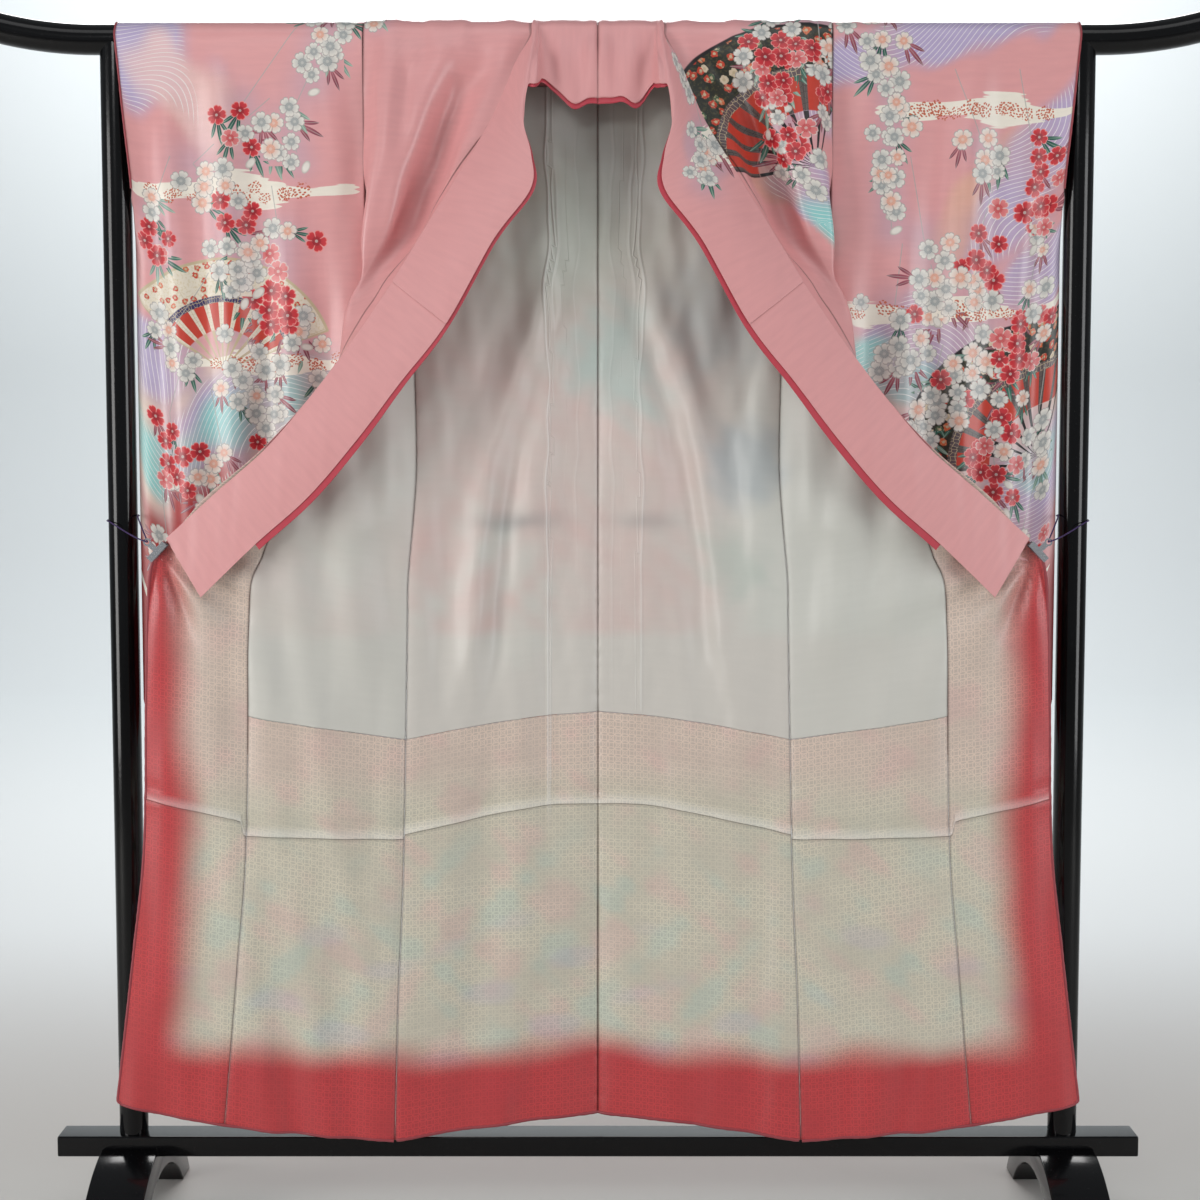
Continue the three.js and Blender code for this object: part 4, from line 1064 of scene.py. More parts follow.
@dataclass
class Cloth:
    """One piece of cloth cut from a surface: a thin closed wall with its painting."""

    name: str
    surface: Surface
    us: Array
    vs: Array
    layer: tuple[float, float]
    hand: Hand
    material: Material
    relief: Relief
    strip: tuple[Callable, Callable] = WHOLE
    grooves: tuple[float, float] = (0.0, 0.0)
    groove_width: float = 6.0
    inset: float = 0.25
    painting: Optional[Painting] = None
    dye: Optional[Callable[[Array, Array], Array]] = None
    top_v: float = 0.0
    flat_sign: float = 1.0
    closed: bool = False
    held_edge: bool = False
    press: Optional[Callable[[Array], Array]] = None
    ruffle: Optional[Callable[[Array], Array]] = None
    marks: Array = field(init=False)
    crease: Array = field(init=False)

    def build(self) -> Thing:
        """Makes the mesh with its attributes.

        Returns:
            The new object.
        """
        uu, vv = np.meshgrid(self.us, self.vs)
        low, high = self.strip
        u = low(vv) + (high(vv) - low(vv)) * uu
        p, n = self.surface.at(u, vv), self.surface.normals(u, vv)
        across = self.surface.across(u, vv)
        from_low = across - self.surface.across(low(vv), vv)
        from_high = self.surface.across(high(vv), vv) - across
        flat = np.stack([across, (self.surface.down(vv) - self.top_v) * self.flat_sign], axis=-1)
        relief = self.relief(p, flat)
        if self.held_edge:
            to_edge = self.surface.across(1 + 0 * vv, vv) - across
            relief = relief * (1 - (1 - ease(to_edge, 0, 32)) * ease(vv, 14.2, 13.2))
        p = p + n * relief[..., None]
        if self.ruffle:
            p[..., 2] += self.ruffle(flat)
        way = -n if self.closed else np.array([0.0, 1.0, 0.0])
        pucker = 1 + 0.22 * np.sin(flat[..., 1] / 3.7) * np.sin(flat[..., 1] / 23)
        seam = np.full(u.shape, 99.0)
        for depth, distance in zip(self.grooves, (from_low, from_high)):
            dent = depth * np.exp(-distance / self.groove_width) * pucker * ease(p[..., 2], 1640, 1480)
            p = p + way * dent[..., None]
            seam = np.minimum(seam, distance) if depth else seam
        if self.ruffle:
            seam = np.minimum(seam, flat[..., 1])
        p = self._inset(p)
        walls = [p + n * offset for offset in self.layer]
        press = self.press(p) if self.press else np.stack([0 * u + 99, 0 * u], axis=-1)
        self.marks = np.concatenate([seam[..., None], press], axis=-1)
        self.crease = np.stack([p[..., 2] - FOLDS.pressed_across(p[..., 0]), 0 * u, 0 * u], axis=-1)
        return self._mesh(walls, flat * MM)

    def _inset(self, p: Array) -> Array:
        """Draws the outermost points in a little, so that neighbours don't touch."""
        q = p.copy()
        for edge, inner in (((slice(None), 0), (slice(None), 1)), ((slice(None), -1), (slice(None), -2)),
                            ((0, slice(None)), (1, slice(None))), ((-1, slice(None)), (-2, slice(None)))):
            step = p[inner] - p[edge]
            q[edge] += step / np.maximum(np.linalg.norm(step, axis=-1, keepdims=True), 1e-6) * self.inset
        return q

    def _mesh(self, walls: Sequence[Array], flat: Array) -> Thing:
        """Joins two layers of points into a closed wall and writes its attributes.

        Args:
            walls: The two layers of points.
            flat: Their places on the flat cloth.

        Returns:
            The new object.
        """
        rows, cols = walls[0].shape[:2]
        points = np.concatenate([w.reshape(-1, 3) for w in walls]) * MM
        points[:, 0] *= self.hand.value
        index = np.arange(2 * rows * cols).reshape(2, rows, cols)
        k0, k1 = index
        quads = [
            np.stack([k1[:-1, :-1], k1[:-1, 1:], k1[1:, 1:], k1[1:, :-1]], -1).reshape(-1, 4),
            np.stack([k0[:-1, :-1], k0[1:, :-1], k0[1:, 1:], k0[:-1, 1:]], -1).reshape(-1, 4),
            np.stack([k0[0, :-1], k0[0, 1:], k1[0, 1:], k1[0, :-1]], -1),
            np.stack([k1[-1, :-1], k1[-1, 1:], k0[-1, 1:], k0[-1, :-1]], -1),
            np.stack([k0[:-1, 0], k1[:-1, 0], k1[1:, 0], k0[1:, 0]], -1),
            np.stack([k0[1:, -1], k1[1:, -1], k1[:-1, -1], k0[:-1, -1]], -1),
        ]
        faces = np.concatenate(quads)
        smooth = np.zeros(len(faces), dtype=bool)
        smooth[:len(quads[0]) + len(quads[1])] = True
        if self.hand is Hand.LEFT:
            faces = faces[:, ::-1]
        mesh = bpy.data.meshes.new(self.name)
        mesh.vertices.add(len(points))
        mesh.vertices.foreach_set("co", points.ravel())
        mesh.loops.add(faces.size)
        mesh.loops.foreach_set("vertex_index", faces.ravel().astype(np.int32))
        mesh.polygons.add(len(faces))
        mesh.polygons.foreach_set("loop_start", np.arange(0, faces.size, 4, dtype=np.int32))
        mesh.update(calc_edges=True)
        mesh.polygons.foreach_set("use_smooth", smooth)
        flats = np.concatenate([flat.reshape(-1, 2)] * 2)
        corners = flats[faces.ravel()]
        mesh.uv_layers.new(name="Cloth").data.foreach_set("uv", corners.ravel().astype(np.float32))
        self._paint(mesh, flats, corners.reshape(-1, 4, 2), points)
        mesh.materials.append(self.material)
        return link(bpy.data.objects.new(self.name, mesh))

    def _paint(self, mesh: bpy.types.Mesh, flats: Array, corners: Array, points: Array) -> None:
        """Writes the seams, the dyed ground, the water and mist, the fans and the motifs onto the mesh.

        Args:
            mesh: The mesh.
            flats: Each point's place on the flat cloth.
            corners: Each face corner's place.
            points: Each point's place in space.
        """
        write(mesh, "marks", "FLOAT_VECTOR", "POINT", np.concatenate([self.marks.reshape(-1, 3)] * 2))
        write(mesh, "crease", "FLOAT_VECTOR", "POINT", np.concatenate([self.crease.reshape(-1, 3)] * 2))
        if self.dye:
            colour = np.concatenate([self.dye(flats, points / MM), np.zeros((len(flats), 1))], axis=-1)
            write(mesh, "dye", "FLOAT_COLOR", "POINT", colour)
        if not self.painting:
            return
        art = self.painting
        u, v = flats[:, 0], flats[:, 1]
        write(mesh, "dye", "FLOAT_COLOR", "POINT", art.dye(u, v))
        write(mesh, "flow", "FLOAT_VECTOR", "POINT", art.flow(u, v))
        centres = corners.mean(axis=1)
        reach = np.abs(corners - centres[:, None]).max(axis=(1, 2))
        fans = np.tile(np.array(NOTHING), (len(corners), 4, 1))
        for fan in art.fans:
            local = self._local(corners, fan.u, fan.v, fan.radius, fan.radius, fan.turn) * (1, -1)
            near = np.hypot(centres[:, 0] - fan.u, centres[:, 1] - fan.v) < fan.radius * 1.05 + reach
            code = np.full(local.shape[:2] + (1,), 2.0 if fan.dark else 1.0)
            fans[near] = np.concatenate([local, code], axis=-1)[near]
        write(mesh, "fan", "FLOAT_VECTOR", "CORNER", fans)
        layers = np.tile(np.array(NOTHING), (MOTIF_LAYERS, len(corners), 4, 1))
        used = np.zeros(len(corners), dtype=int)
        for stroke in art.strokes:
            near = np.hypot(centres[:, 0] - stroke.u,
                            centres[:, 1] - stroke.v) < stroke.half_length * 1.42 + reach
            near = np.flatnonzero(near & (used < MOTIF_LAYERS))
            if not len(near):
                continue
            local = self._local(corners[near], stroke.u, stroke.v, stroke.half_length, stroke.half_width,
                                stroke.turn)
            margin = reach[near] / stroke.half_width + 1
            hit = np.abs(local.mean(axis=1)[:, 1]) < margin
            near, local = near[hit], local[hit]
            code = np.full(local.shape[:2], float(stroke.motif.value))
            layers[used[near], near] = np.concatenate([local, code[..., None]], axis=-1)
            used[near] += 1
        for k, layer in enumerate(layers):
            write(mesh, f"motif_{k}", "FLOAT_VECTOR", "CORNER", layer)

    @staticmethod
    def _local(corners: Array, u: float, v: float, half_u: float, half_v: float, turn: float) -> Array:
        """Flat places seen from a motif's own centre, along its own axes and in its own half sizes."""
        du, dv = corners[..., 0] - u, corners[..., 1] - v
        c, s = math.cos(turn), math.sin(turn)
        return np.stack([(du * c + dv * s) / half_u, (-du * s + dv * c) / half_v], axis=-1)


def write(mesh: bpy.types.Mesh, name: str, kind: str, domain: str, values: Array) -> None:
    """Adds an attribute to a mesh.

    Args:
        mesh: The mesh.
        name: The attribute's name.
        kind: Its data type.
        domain: POINT or CORNER.
        values: One colour or vector for each point or corner.
    """
    key = "color" if kind == "FLOAT_COLOR" else "vector"
    mesh.attributes.new(name, kind, domain).data.foreach_set(key, values.astype(np.float32).ravel())


# ---- Shader building ----

class Net:
    """Adds nodes to one tree, each call giving back the socket to use next."""

    def __init__(self, tree: Tree) -> None:
        """Takes the tree to build in."""
        self.tree = tree

    def put(self, socket: Socket, value: Value) -> None:
        """Links a socket, or sets its own value."""
        if isinstance(value, bpy.types.NodeSocket):
            self.tree.links.new(value, socket)
        elif socket.type == "RGBA" and not isinstance(value, (int, float)):
            socket.default_value = (*value, 1.0) if len(value) == 3 else tuple(value)
        else:
            socket.default_value = value

    def node(self, kind: str, inputs: Optional[dict] = None, **settings: object) -> Node:
        """One node, with its settings and inputs by name or number."""
        node = self.tree.nodes.new(kind)
        for key, value in settings.items():
            setattr(node, key, value)
        for key, value in (inputs or {}).items():
            self.put(node.inputs[key], value)
        return node

    def math(self, operation: str, a: Value, b: Value = 0.0, c: Value = 0.0, clamp: bool = False) -> Socket:
        """A Math node."""
        node = self.node("ShaderNodeMath", {0: a, 1: b, 2: c}, operation=operation, use_clamp=clamp)
        return node.outputs[0]

    def times(self, a: Value, b: Value) -> Socket:
        """a times b."""
        return self.math("MULTIPLY", a, b)

    def plus(self, a: Value, b: Value) -> Socket:
        """a plus b."""
        return self.math("ADD", a, b)

    def minus(self, a: Value, b: Value) -> Socket:
        """a minus b."""
        return self.math("SUBTRACT", a, b)

    def size(self, a: Value) -> Socket:
        """a without its sign."""
        return self.math("ABSOLUTE", a)

    def most(self, a: Value, b: Value) -> Socket:
        """The greater of a and b."""
        return self.math("MAXIMUM", a, b)

    def scaled_plus(self, a: Value, b: Value, c: Value) -> Socket:
        """a times b, plus c."""
        return self.math("MULTIPLY_ADD", a, b, c)

    def length(self, a: Value, b: Value) -> Socket:
        """Length of (a, b)."""
        return self.math("SQRT", self.plus(self.times(a, a), self.times(b, b)))

    def step(self, value: Value, low: Value, high: Value) -> Socket:
        """0 at low, 1 at high, eased between."""
        inputs = {"Value": value, "From Min": low, "From Max": high}
        return self.node("ShaderNodeMapRange", inputs, interpolation_type="SMOOTHSTEP").outputs["Result"]

    def mix(self, weight: Value, a: Value, b: Value, blend: str = "MIX") -> Socket:
        """A colour mix."""
        node = self.node("ShaderNodeMix", data_type="RGBA", blend_type=blend)
        for socket, value in ((node.inputs[0], weight), (node.inputs[6], a), (node.inputs[7], b)):
            self.put(socket, value)
        return node.outputs[2]

    def ramp(self, value: Value, stops: Sequence[tuple[float, Colour]], steps: bool = False) -> Socket:
        """A colour ramp, smooth or in flat steps.

        Args:
            value: What is looked up.
            stops: Places and their colours.
            steps: Whether it is flat steps.

        Returns:
            The colour.
        """
        node = self.node("ShaderNodeValToRGB", {0: value})
        ramp = node.color_ramp
        ramp.interpolation = "CONSTANT" if steps else "LINEAR"
        while len(ramp.elements) < len(stops):
            ramp.elements.new(0.5)
        for element, (place, _) in zip(ramp.elements, stops):
            element.position = place
        for element, (_, colour) in zip(ramp.elements, stops):
            element.color = (*colour, 1.0)
        return node.outputs[0]

    def curve(self, value: Value, points: Sequence[tuple[float, float]]) -> Socket:
        """A float curve through points."""
        node = self.node("ShaderNodeFloatCurve", {1: value})
        curve = node.mapping.curves[0]
        curve.points[0].location = points[0]
        curve.points[1].location = points[-1]
        for place in points[1:-1]:
            curve.points.new(*place)
        node.mapping.update()
        return node.outputs[0]

    def split(self, vector: Socket) -> tuple[Socket, Socket, Socket]:
        """The three parts of a vector."""
        node = self.node("ShaderNodeSeparateXYZ", {0: vector})
        return node.outputs[0], node.outputs[1], node.outputs[2]

    def join(self, x: Value, y: Value, z: Value = 0.0) -> Socket:
        """A vector from three parts."""
        return self.node("ShaderNodeCombineXYZ", {0: x, 1: y, 2: z}).outputs[0]

    def noise(self, vector: Value, scale: float, detail: float = 2.0, roughness: float = 0.5) -> Socket:
        """Noise from 0 to 1."""
        inputs = {"Vector": vector, "Scale": scale, "Detail": detail, "Roughness": roughness}
        return self.node("ShaderNodeTexNoise", inputs).outputs["Fac"]

    def scaled(self, vector: Value, scale: Sequence[float], turn: float = 0.0) -> Socket:
        """A vector scaled, after a turn about Z."""
        inputs = {"Vector": vector, "Scale": scale, "Rotation": (0, 0, turn)}
        return self.node("ShaderNodeMapping", inputs).outputs[0]

    def attribute(self, name: str) -> Node:
        """A mesh attribute."""
        return self.node("ShaderNodeAttribute", attribute_name=name)

    def group(self, tree: Tree, inputs: dict) -> Node:
        """A node group placed in this tree."""
        node = self.node("ShaderNodeGroup", node_tree=tree)
        for key, value in inputs.items():
            self.put(node.inputs[key], value)
        return node


class GroupMaker:
    """A node group with named inputs and outputs, built once."""

    def __init__(self, name: str, inputs: dict[str, tuple[str, Value]], outputs: dict[str, str]) -> None:
        """Makes the tree and its sockets.

        Args:
            name: The group's name.
            inputs: Socket type and default by name; a default of None is left alone.
            outputs: Socket type by name.
        """
        self.tree = bpy.data.node_groups.new(name, "ShaderNodeTree")
        for key, (kind, default) in inputs.items():
            socket = self.tree.interface.new_socket(key, in_out="INPUT", socket_type=kind)
            if default is not None:
                socket.default_value = default
        for key, kind in outputs.items():
            self.tree.interface.new_socket(key, in_out="OUTPUT", socket_type=kind)
        self.net = Net(self.tree)
        self.inputs = self.net.node("NodeGroupInput").outputs
        self.outputs = self.net.node("NodeGroupOutput").inputs

    def give(self, **values: Value) -> Tree:
        """Links the outputs and gives back the finished tree."""
        for key, value in values.items():
            self.net.put(self.outputs[key], value)
        return self.tree


FLOAT, VECTOR, COLOUR = "NodeSocketFloat", "NodeSocketVector", "NodeSocketColor"


def motif_group() -> Tree:
    """Blossom, leaf, stem, sprig or bud from a motif's own coordinates and its code.

    Returns:
        The group's node tree.
    """
    maker = GroupMaker("painted_motif", {"Local": (VECTOR, None)}, {"Color": COLOUR, "Mask": FLOAT})
    net = maker.net
    x, y, code = net.split(maker.inputs["Local"])
    radius = net.length(x, y)
    angle = net.math("ARCTAN2", y, x)
    petal = net.math("FRACT", net.scaled_plus(angle, 5 / (2 * math.pi), 5.5))
    off = net.times(net.size(net.minus(petal, 0.5)), 2.0)
    edge = net.curve(off, ((0, 0.88), (0.12, 0.98), (0.5, 0.98), (0.8, 0.88), (0.93, 0.72), (1, 0.58)))
    q = net.math("DIVIDE", radius, edge)
    blossom = net.step(q, 1.0, 0.95)
    rim = net.times(net.step(q, 0.84, 0.93), 0.75)
    cleft = net.times(net.step(off, 0.78, 0.96), net.step(radius, 0.25, 0.4))
    core = net.step(radius, 0.44, 0.34)
    spokes = net.math("SINE", net.times(angle, 15.0))
    stamens = net.times(core, net.step(spokes, -0.2, 0.5))
    eye = net.step(radius, 0.16, 0.11)

    def is_code(low: float, high: float) -> Socket:
        """1 where the code lies between low and high."""
        above = net.math("GREATER_THAN", code, low - 0.5)
        return net.times(above, net.math("LESS_THAN", code, high + 0.5))

    tone = net.scaled_plus(code, 0.1, 0.05)
    white, red, rose = srgb(226, 221, 212), srgb(206, 48, 56), srgb(224, 130, 130)
    petals = net.ramp(tone, [(0.0, white), (0.1, white), (0.2, red), (0.3, rose), (0.4, srgb(60, 122, 102)),
                             (0.5, srgb(118, 34, 62)), (0.6, srgb(138, 168, 150)), (0.7, srgb(170, 168, 164)),
                             (0.8, srgb(192, 96, 66)), (0.9, white)], steps=True)
    hearts = net.ramp(tone, [(0.0, srgb(132, 140, 142)), (0.1, srgb(222, 146, 118)), (0.2, srgb(136, 20, 34)),
                             (0.3, srgb(190, 62, 66)), (0.4, srgb(26, 74, 66)), (0.5, srgb(168, 92, 104)),
                             (0.6, srgb(96, 132, 122)), (0.7, srgb(150, 150, 146)), (0.8, srgb(150, 48, 30)),
                             (0.9, srgb(196, 190, 180))], steps=True)
    rims = net.ramp(tone, [(0.0, srgb(150, 142, 140)), (0.2, srgb(240, 160, 154)), (0.3, white),
                           (0.4, srgb(26, 74, 66)), (0.9, srgb(190, 180, 172))], steps=True)
    shade = net.times(net.step(radius, 0.95, 0.35), 0.35)
    flower = net.mix(shade, petals, hearts)
    flower = net.mix(net.most(rim, net.times(cleft, 0.7)), flower, rims)
    flower = net.mix(net.times(core, 0.45), flower, hearts)
    flower = net.mix(net.times(stamens, 0.75), flower, hearts)
    flower = net.mix(eye, flower, net.mix(0.5, hearts, white))

    base_x = net.plus(x, 1.0)
    reach = net.times(net.length(base_x, y), 0.5)
    fan_angle = net.math("ARCTAN2", y, base_x)
    lobe = net.math("FRACT", net.scaled_plus(fan_angle, 1 / 0.52, 4.5))
    off_lobe = net.times(net.size(net.minus(lobe, 0.5)), 2.0)
    side = net.size(fan_angle)
    length = net.minus(0.98, net.times(side, 0.42))
    share = net.math("DIVIDE", reach, length)
    width = net.curve(share, ((0, 0.98), (0.35, 0.86), (0.7, 0.5), (1, 0.0)))
    leaf = net.times(net.step(net.minus(width, off_lobe), 0.0, 0.08),
                    net.times(net.math("LESS_THAN", side, 0.78), net.step(share, 1.0, 0.97)))
    rib = net.times(net.step(off_lobe, 0.16, 0.04), 0.6)
    green = net.mix(rib, net.mix(net.step(share, 0.2, 1.0), hearts, petals), net.mix(0.5, petals, white))

    stem = net.times(net.step(net.size(y), 0.55, 0.25), net.step(net.size(x), 1.0, 0.98))
    berries = net.node("ShaderNodeTexVoronoi", {"Vector": net.join(x, net.times(y, 1.5)), "Scale": 2.3},
                       voronoi_dimensions="2D").outputs["Distance"]
    sprig = net.times(net.step(berries, 0.36, 0.28), net.step(radius, 1.0, 0.86))
    bud_y = net.times(y, 1.7)
    bud_r = net.length(x, bud_y)
    bud = net.step(bud_r, 0.82, 0.74)

    colour = net.mix(is_code(4, 6), flower, green)
    colour = net.mix(is_code(7, 8), colour, petals)
    colour = net.mix(is_code(9, 9), colour, net.mix(net.step(bud_r, 0.4, 0.8), petals, rims))
    mask = net.times(is_code(0, 3), blossom)
    for low, high, shape in ((4, 6, leaf), (7, 7, net.times(stem, 0.75)), (8, 8, sprig), (9, 9, bud)):
        mask = net.scaled_plus(is_code(low, high), shape, mask)
    return maker.give(Color=colour, Mask=mask)


def fan_group() -> Tree:
    """An open folding fan from its own coordinates: its pivot at the middle, opening along +Y.

    Returns:
        The group's node tree.
    """
    maker = GroupMaker("painted_fan", {"Local": (VECTOR, None)}, {"Color": COLOUR, "Mask": FLOAT})
    net = maker.net
    x, y, code = net.split(maker.inputs["Local"])
    dark = net.math("GREATER_THAN", code, 1.5)
    radius = net.length(x, y)
    angle = net.math("ARCTAN2", x, y)
    side = net.size(angle)
    pleat = net.math("FRACT", net.scaled_plus(angle, 1 / 0.24, 20.5))
    fold = net.times(net.size(net.minus(pleat, 0.5)), 2.0)
    inside = net.times(net.step(side, 1.12, 1.10), net.step(radius, 1.0, 0.99))
    paper = net.times(inside, net.step(radius, 0.36, 0.37))
    sticks = net.times(inside, net.times(net.step(fold, 0.62, 0.7), net.step(radius, 0.37, 0.36)))
    flowers = net.node("ShaderNodeTexVoronoi", {"Vector": net.join(x, y), "Scale": 13.0, "Randomness": 0.9},
                       voronoi_dimensions="2D")
    wobble = net.times(net.noise(net.join(x, y), 34.0, 2.0), 0.5)
    petals = net.step(net.plus(flowers.outputs["Distance"], wobble), 0.62, 0.56)
    lattice = net.node("ShaderNodeTexVoronoi",
                       {"Vector": net.join(angle, radius), "Scale": 26.0, "Randomness": 0.5},
                       voronoi_dimensions="2D", feature="DISTANCE_TO_EDGE").outputs["Distance"]
    gold, cream, ink = srgb(196, 178, 146), srgb(224, 214, 196), srgb(30, 26, 28)
    pick = net.split(flowers.outputs["Color"])[0]
    blooms = net.ramp(pick, [(0, srgb(196, 62, 40)), (0.4, srgb(208, 102, 62)), (0.62, srgb(72, 96, 70)),
                             (0.82, srgb(214, 196, 170))], steps=True)
    heart = net.step(flowers.outputs["Distance"], 0.16, 0.1)
    speckle = net.step(net.noise(net.join(x, y), 60.0, 1.0), 0.56, 0.6)
    blooms = net.mix(net.most(heart, net.times(speckle, 0.6)), blooms, gold)
    band_ground = net.mix(dark, cream, srgb(40, 42, 34))
    weave = net.noise(net.join(x, y), 46.0, 3.0)
    band_ground = net.mix(net.step(weave, 0.5, 0.62), band_ground,
                          net.mix(dark, srgb(214, 200, 172), srgb(70, 66, 44)))
    show = net.times(petals, net.mix(dark, net.math("LESS_THAN", pick, 0.45), (1, 1, 1)))
    band = net.mix(show, band_ground, blooms)
    ring = net.mix(net.step(lattice, 0.03, 0.08), gold, net.mix(dark, srgb(52, 44, 92), srgb(96, 82, 86)))
    rib_ground = net.mix(dark, cream, srgb(96, 84, 80))
    rib = net.mix(net.step(lattice, 0.02, 0.05), net.mix(dark, gold, srgb(52, 42, 40)), rib_ground)
    panel = net.mix(net.step(fold, 0.62, 0.66), VERMILION, rib)
    colour = net.mix(net.step(radius, 0.665, 0.66), band, ring)
    colour = net.mix(net.step(radius, 0.605, 0.60), colour, panel)
    outline = net.most(net.step(radius, 0.965, 0.975), net.step(side, 1.085, 1.095))
    outline = net.most(outline, net.times(net.step(fold, 0.93, 0.98), 0.5))
    colour = net.mix(outline, colour, net.mix(dark, gold, ink))
    colour = net.mix(sticks, colour, net.mix(dark, gold, ink))
    return maker.give(Color=colour, Mask=net.most(paper, sticks))


def weave_group() -> Tree:
    """Fine threads of satin or plain silk, from the flat cloth's own coordinates.

    Returns:
        The group's node tree.
    """
    maker = GroupMaker("silk_weave",
                       {"Cloth": (VECTOR, None), "Threads": (FLOAT, 1500.0), "Slub": (FLOAT, 0.5)},
                       {"Height": FLOAT, "Tone": FLOAT})
    net = maker.net
    stretch = net.node("ShaderNodeVectorMath", {0: maker.inputs["Cloth"], 1: (1.0, 0.22, 1.0)},
                       operation="MULTIPLY")
    across = net.node("ShaderNodeVectorMath", {0: maker.inputs["Cloth"], 1: (0.16, 1.0, 1.0)},
                      operation="MULTIPLY")
    warp = net.node("ShaderNodeTexNoise",
                    {"Vector": stretch.outputs[0], "Scale": maker.inputs["Threads"]}).outputs["Fac"]
    weft = net.node("ShaderNodeTexNoise",
                    {"Vector": across.outputs[0], "Scale": maker.inputs["Threads"]}).outputs["Fac"]
    slub = net.noise(across.outputs[0], 130.0, 3.0)
    height = net.plus(net.times(warp, 0.6), net.times(weft, 0.4))
    tone = net.plus(net.times(net.minus(slub, 0.5), maker.inputs["Slub"]), 0.5)
    return maker.give(Height=height, Tone=tone)


def lattice_group() -> Tree:
    """A woven lattice of interlocking rings with a small flower in each.

    Returns:
        The group's node tree.
    """
    maker = GroupMaker("jacquard_lattice", {"Cloth": (VECTOR, None), "Repeat": (FLOAT, 72.0)},
                       {"Figure": FLOAT})
    net = maker.net
    turned = net.scaled(maker.inputs["Cloth"], (1, 1, 1), math.pi / 4)
    scaled = net.node("ShaderNodeVectorMath", {0: turned, "Scale": maker.inputs["Repeat"]},
                      operation="SCALE").outputs[0]
    x, y, _ = net.split(scaled)

    def centred(value: Socket) -> Socket:
        """Place within the repeat, -0.5 to 0.5."""
        return net.minus(net.math("FRACT", net.plus(value, 1000.0)), 0.5)

    a, b = centred(x), centred(y)
    a2, b2 = centred(net.plus(x, 0.5)), centred(net.plus(y, 0.5))
    ring = net.step(net.size(net.minus(net.length(a, b), 0.5)), 0.065, 0.03)
    other = net.step(net.size(net.minus(net.length(a2, b2), 0.5)), 0.065, 0.03)
    flower = net.times(net.step(net.length(a, b), 0.17, 0.13),
                      net.step(net.size(net.times(a, b)), 0.001, 0.004))
    figure = net.most(net.most(ring, other), flower)
    patch = net.step(net.noise(maker.inputs["Cloth"], 9.0, 2.0), 0.3, 0.62)
    return maker.give(Figure=net.times(figure, net.scaled_plus(patch, 0.6, 0.4)))


@dataclass(frozen=True)
class Shader:
    """A new material with its Principled shader."""

    name: str

    def start(self) -> tuple[Material, Net, Node]:
        """Makes the material.

        Returns:
            The material, its net and its Principled node.
        """
        material = bpy.data.materials.new(self.name)
        material.use_nodes = True
        principled = next(n for n in material.node_tree.nodes if n.type == "BSDF_PRINCIPLED")
        return material, Net(material.node_tree), principled

    @staticmethod
    def finish(net: Net, shader: Node, grain: tuple[float, float, Value], **inputs: Value) -> None:
        """Sets the shader's inputs and its relief.

        Args:
            net: The material's net.
            shader: Its Principled node.
            grain: The relief's strength, its depth in metres and its height.
            inputs: Values of inputs by name, with underscores for spaces.
        """
        for key, value in inputs.items():
            net.put(shader.inputs[key.replace("_", " ")], value)
        strength, distance, height = grain
        relief = net.node("ShaderNodeBump", {"Strength": strength, "Distance": distance, "Height": height})
        net.put(shader.inputs["Normal"], relief.outputs[0])


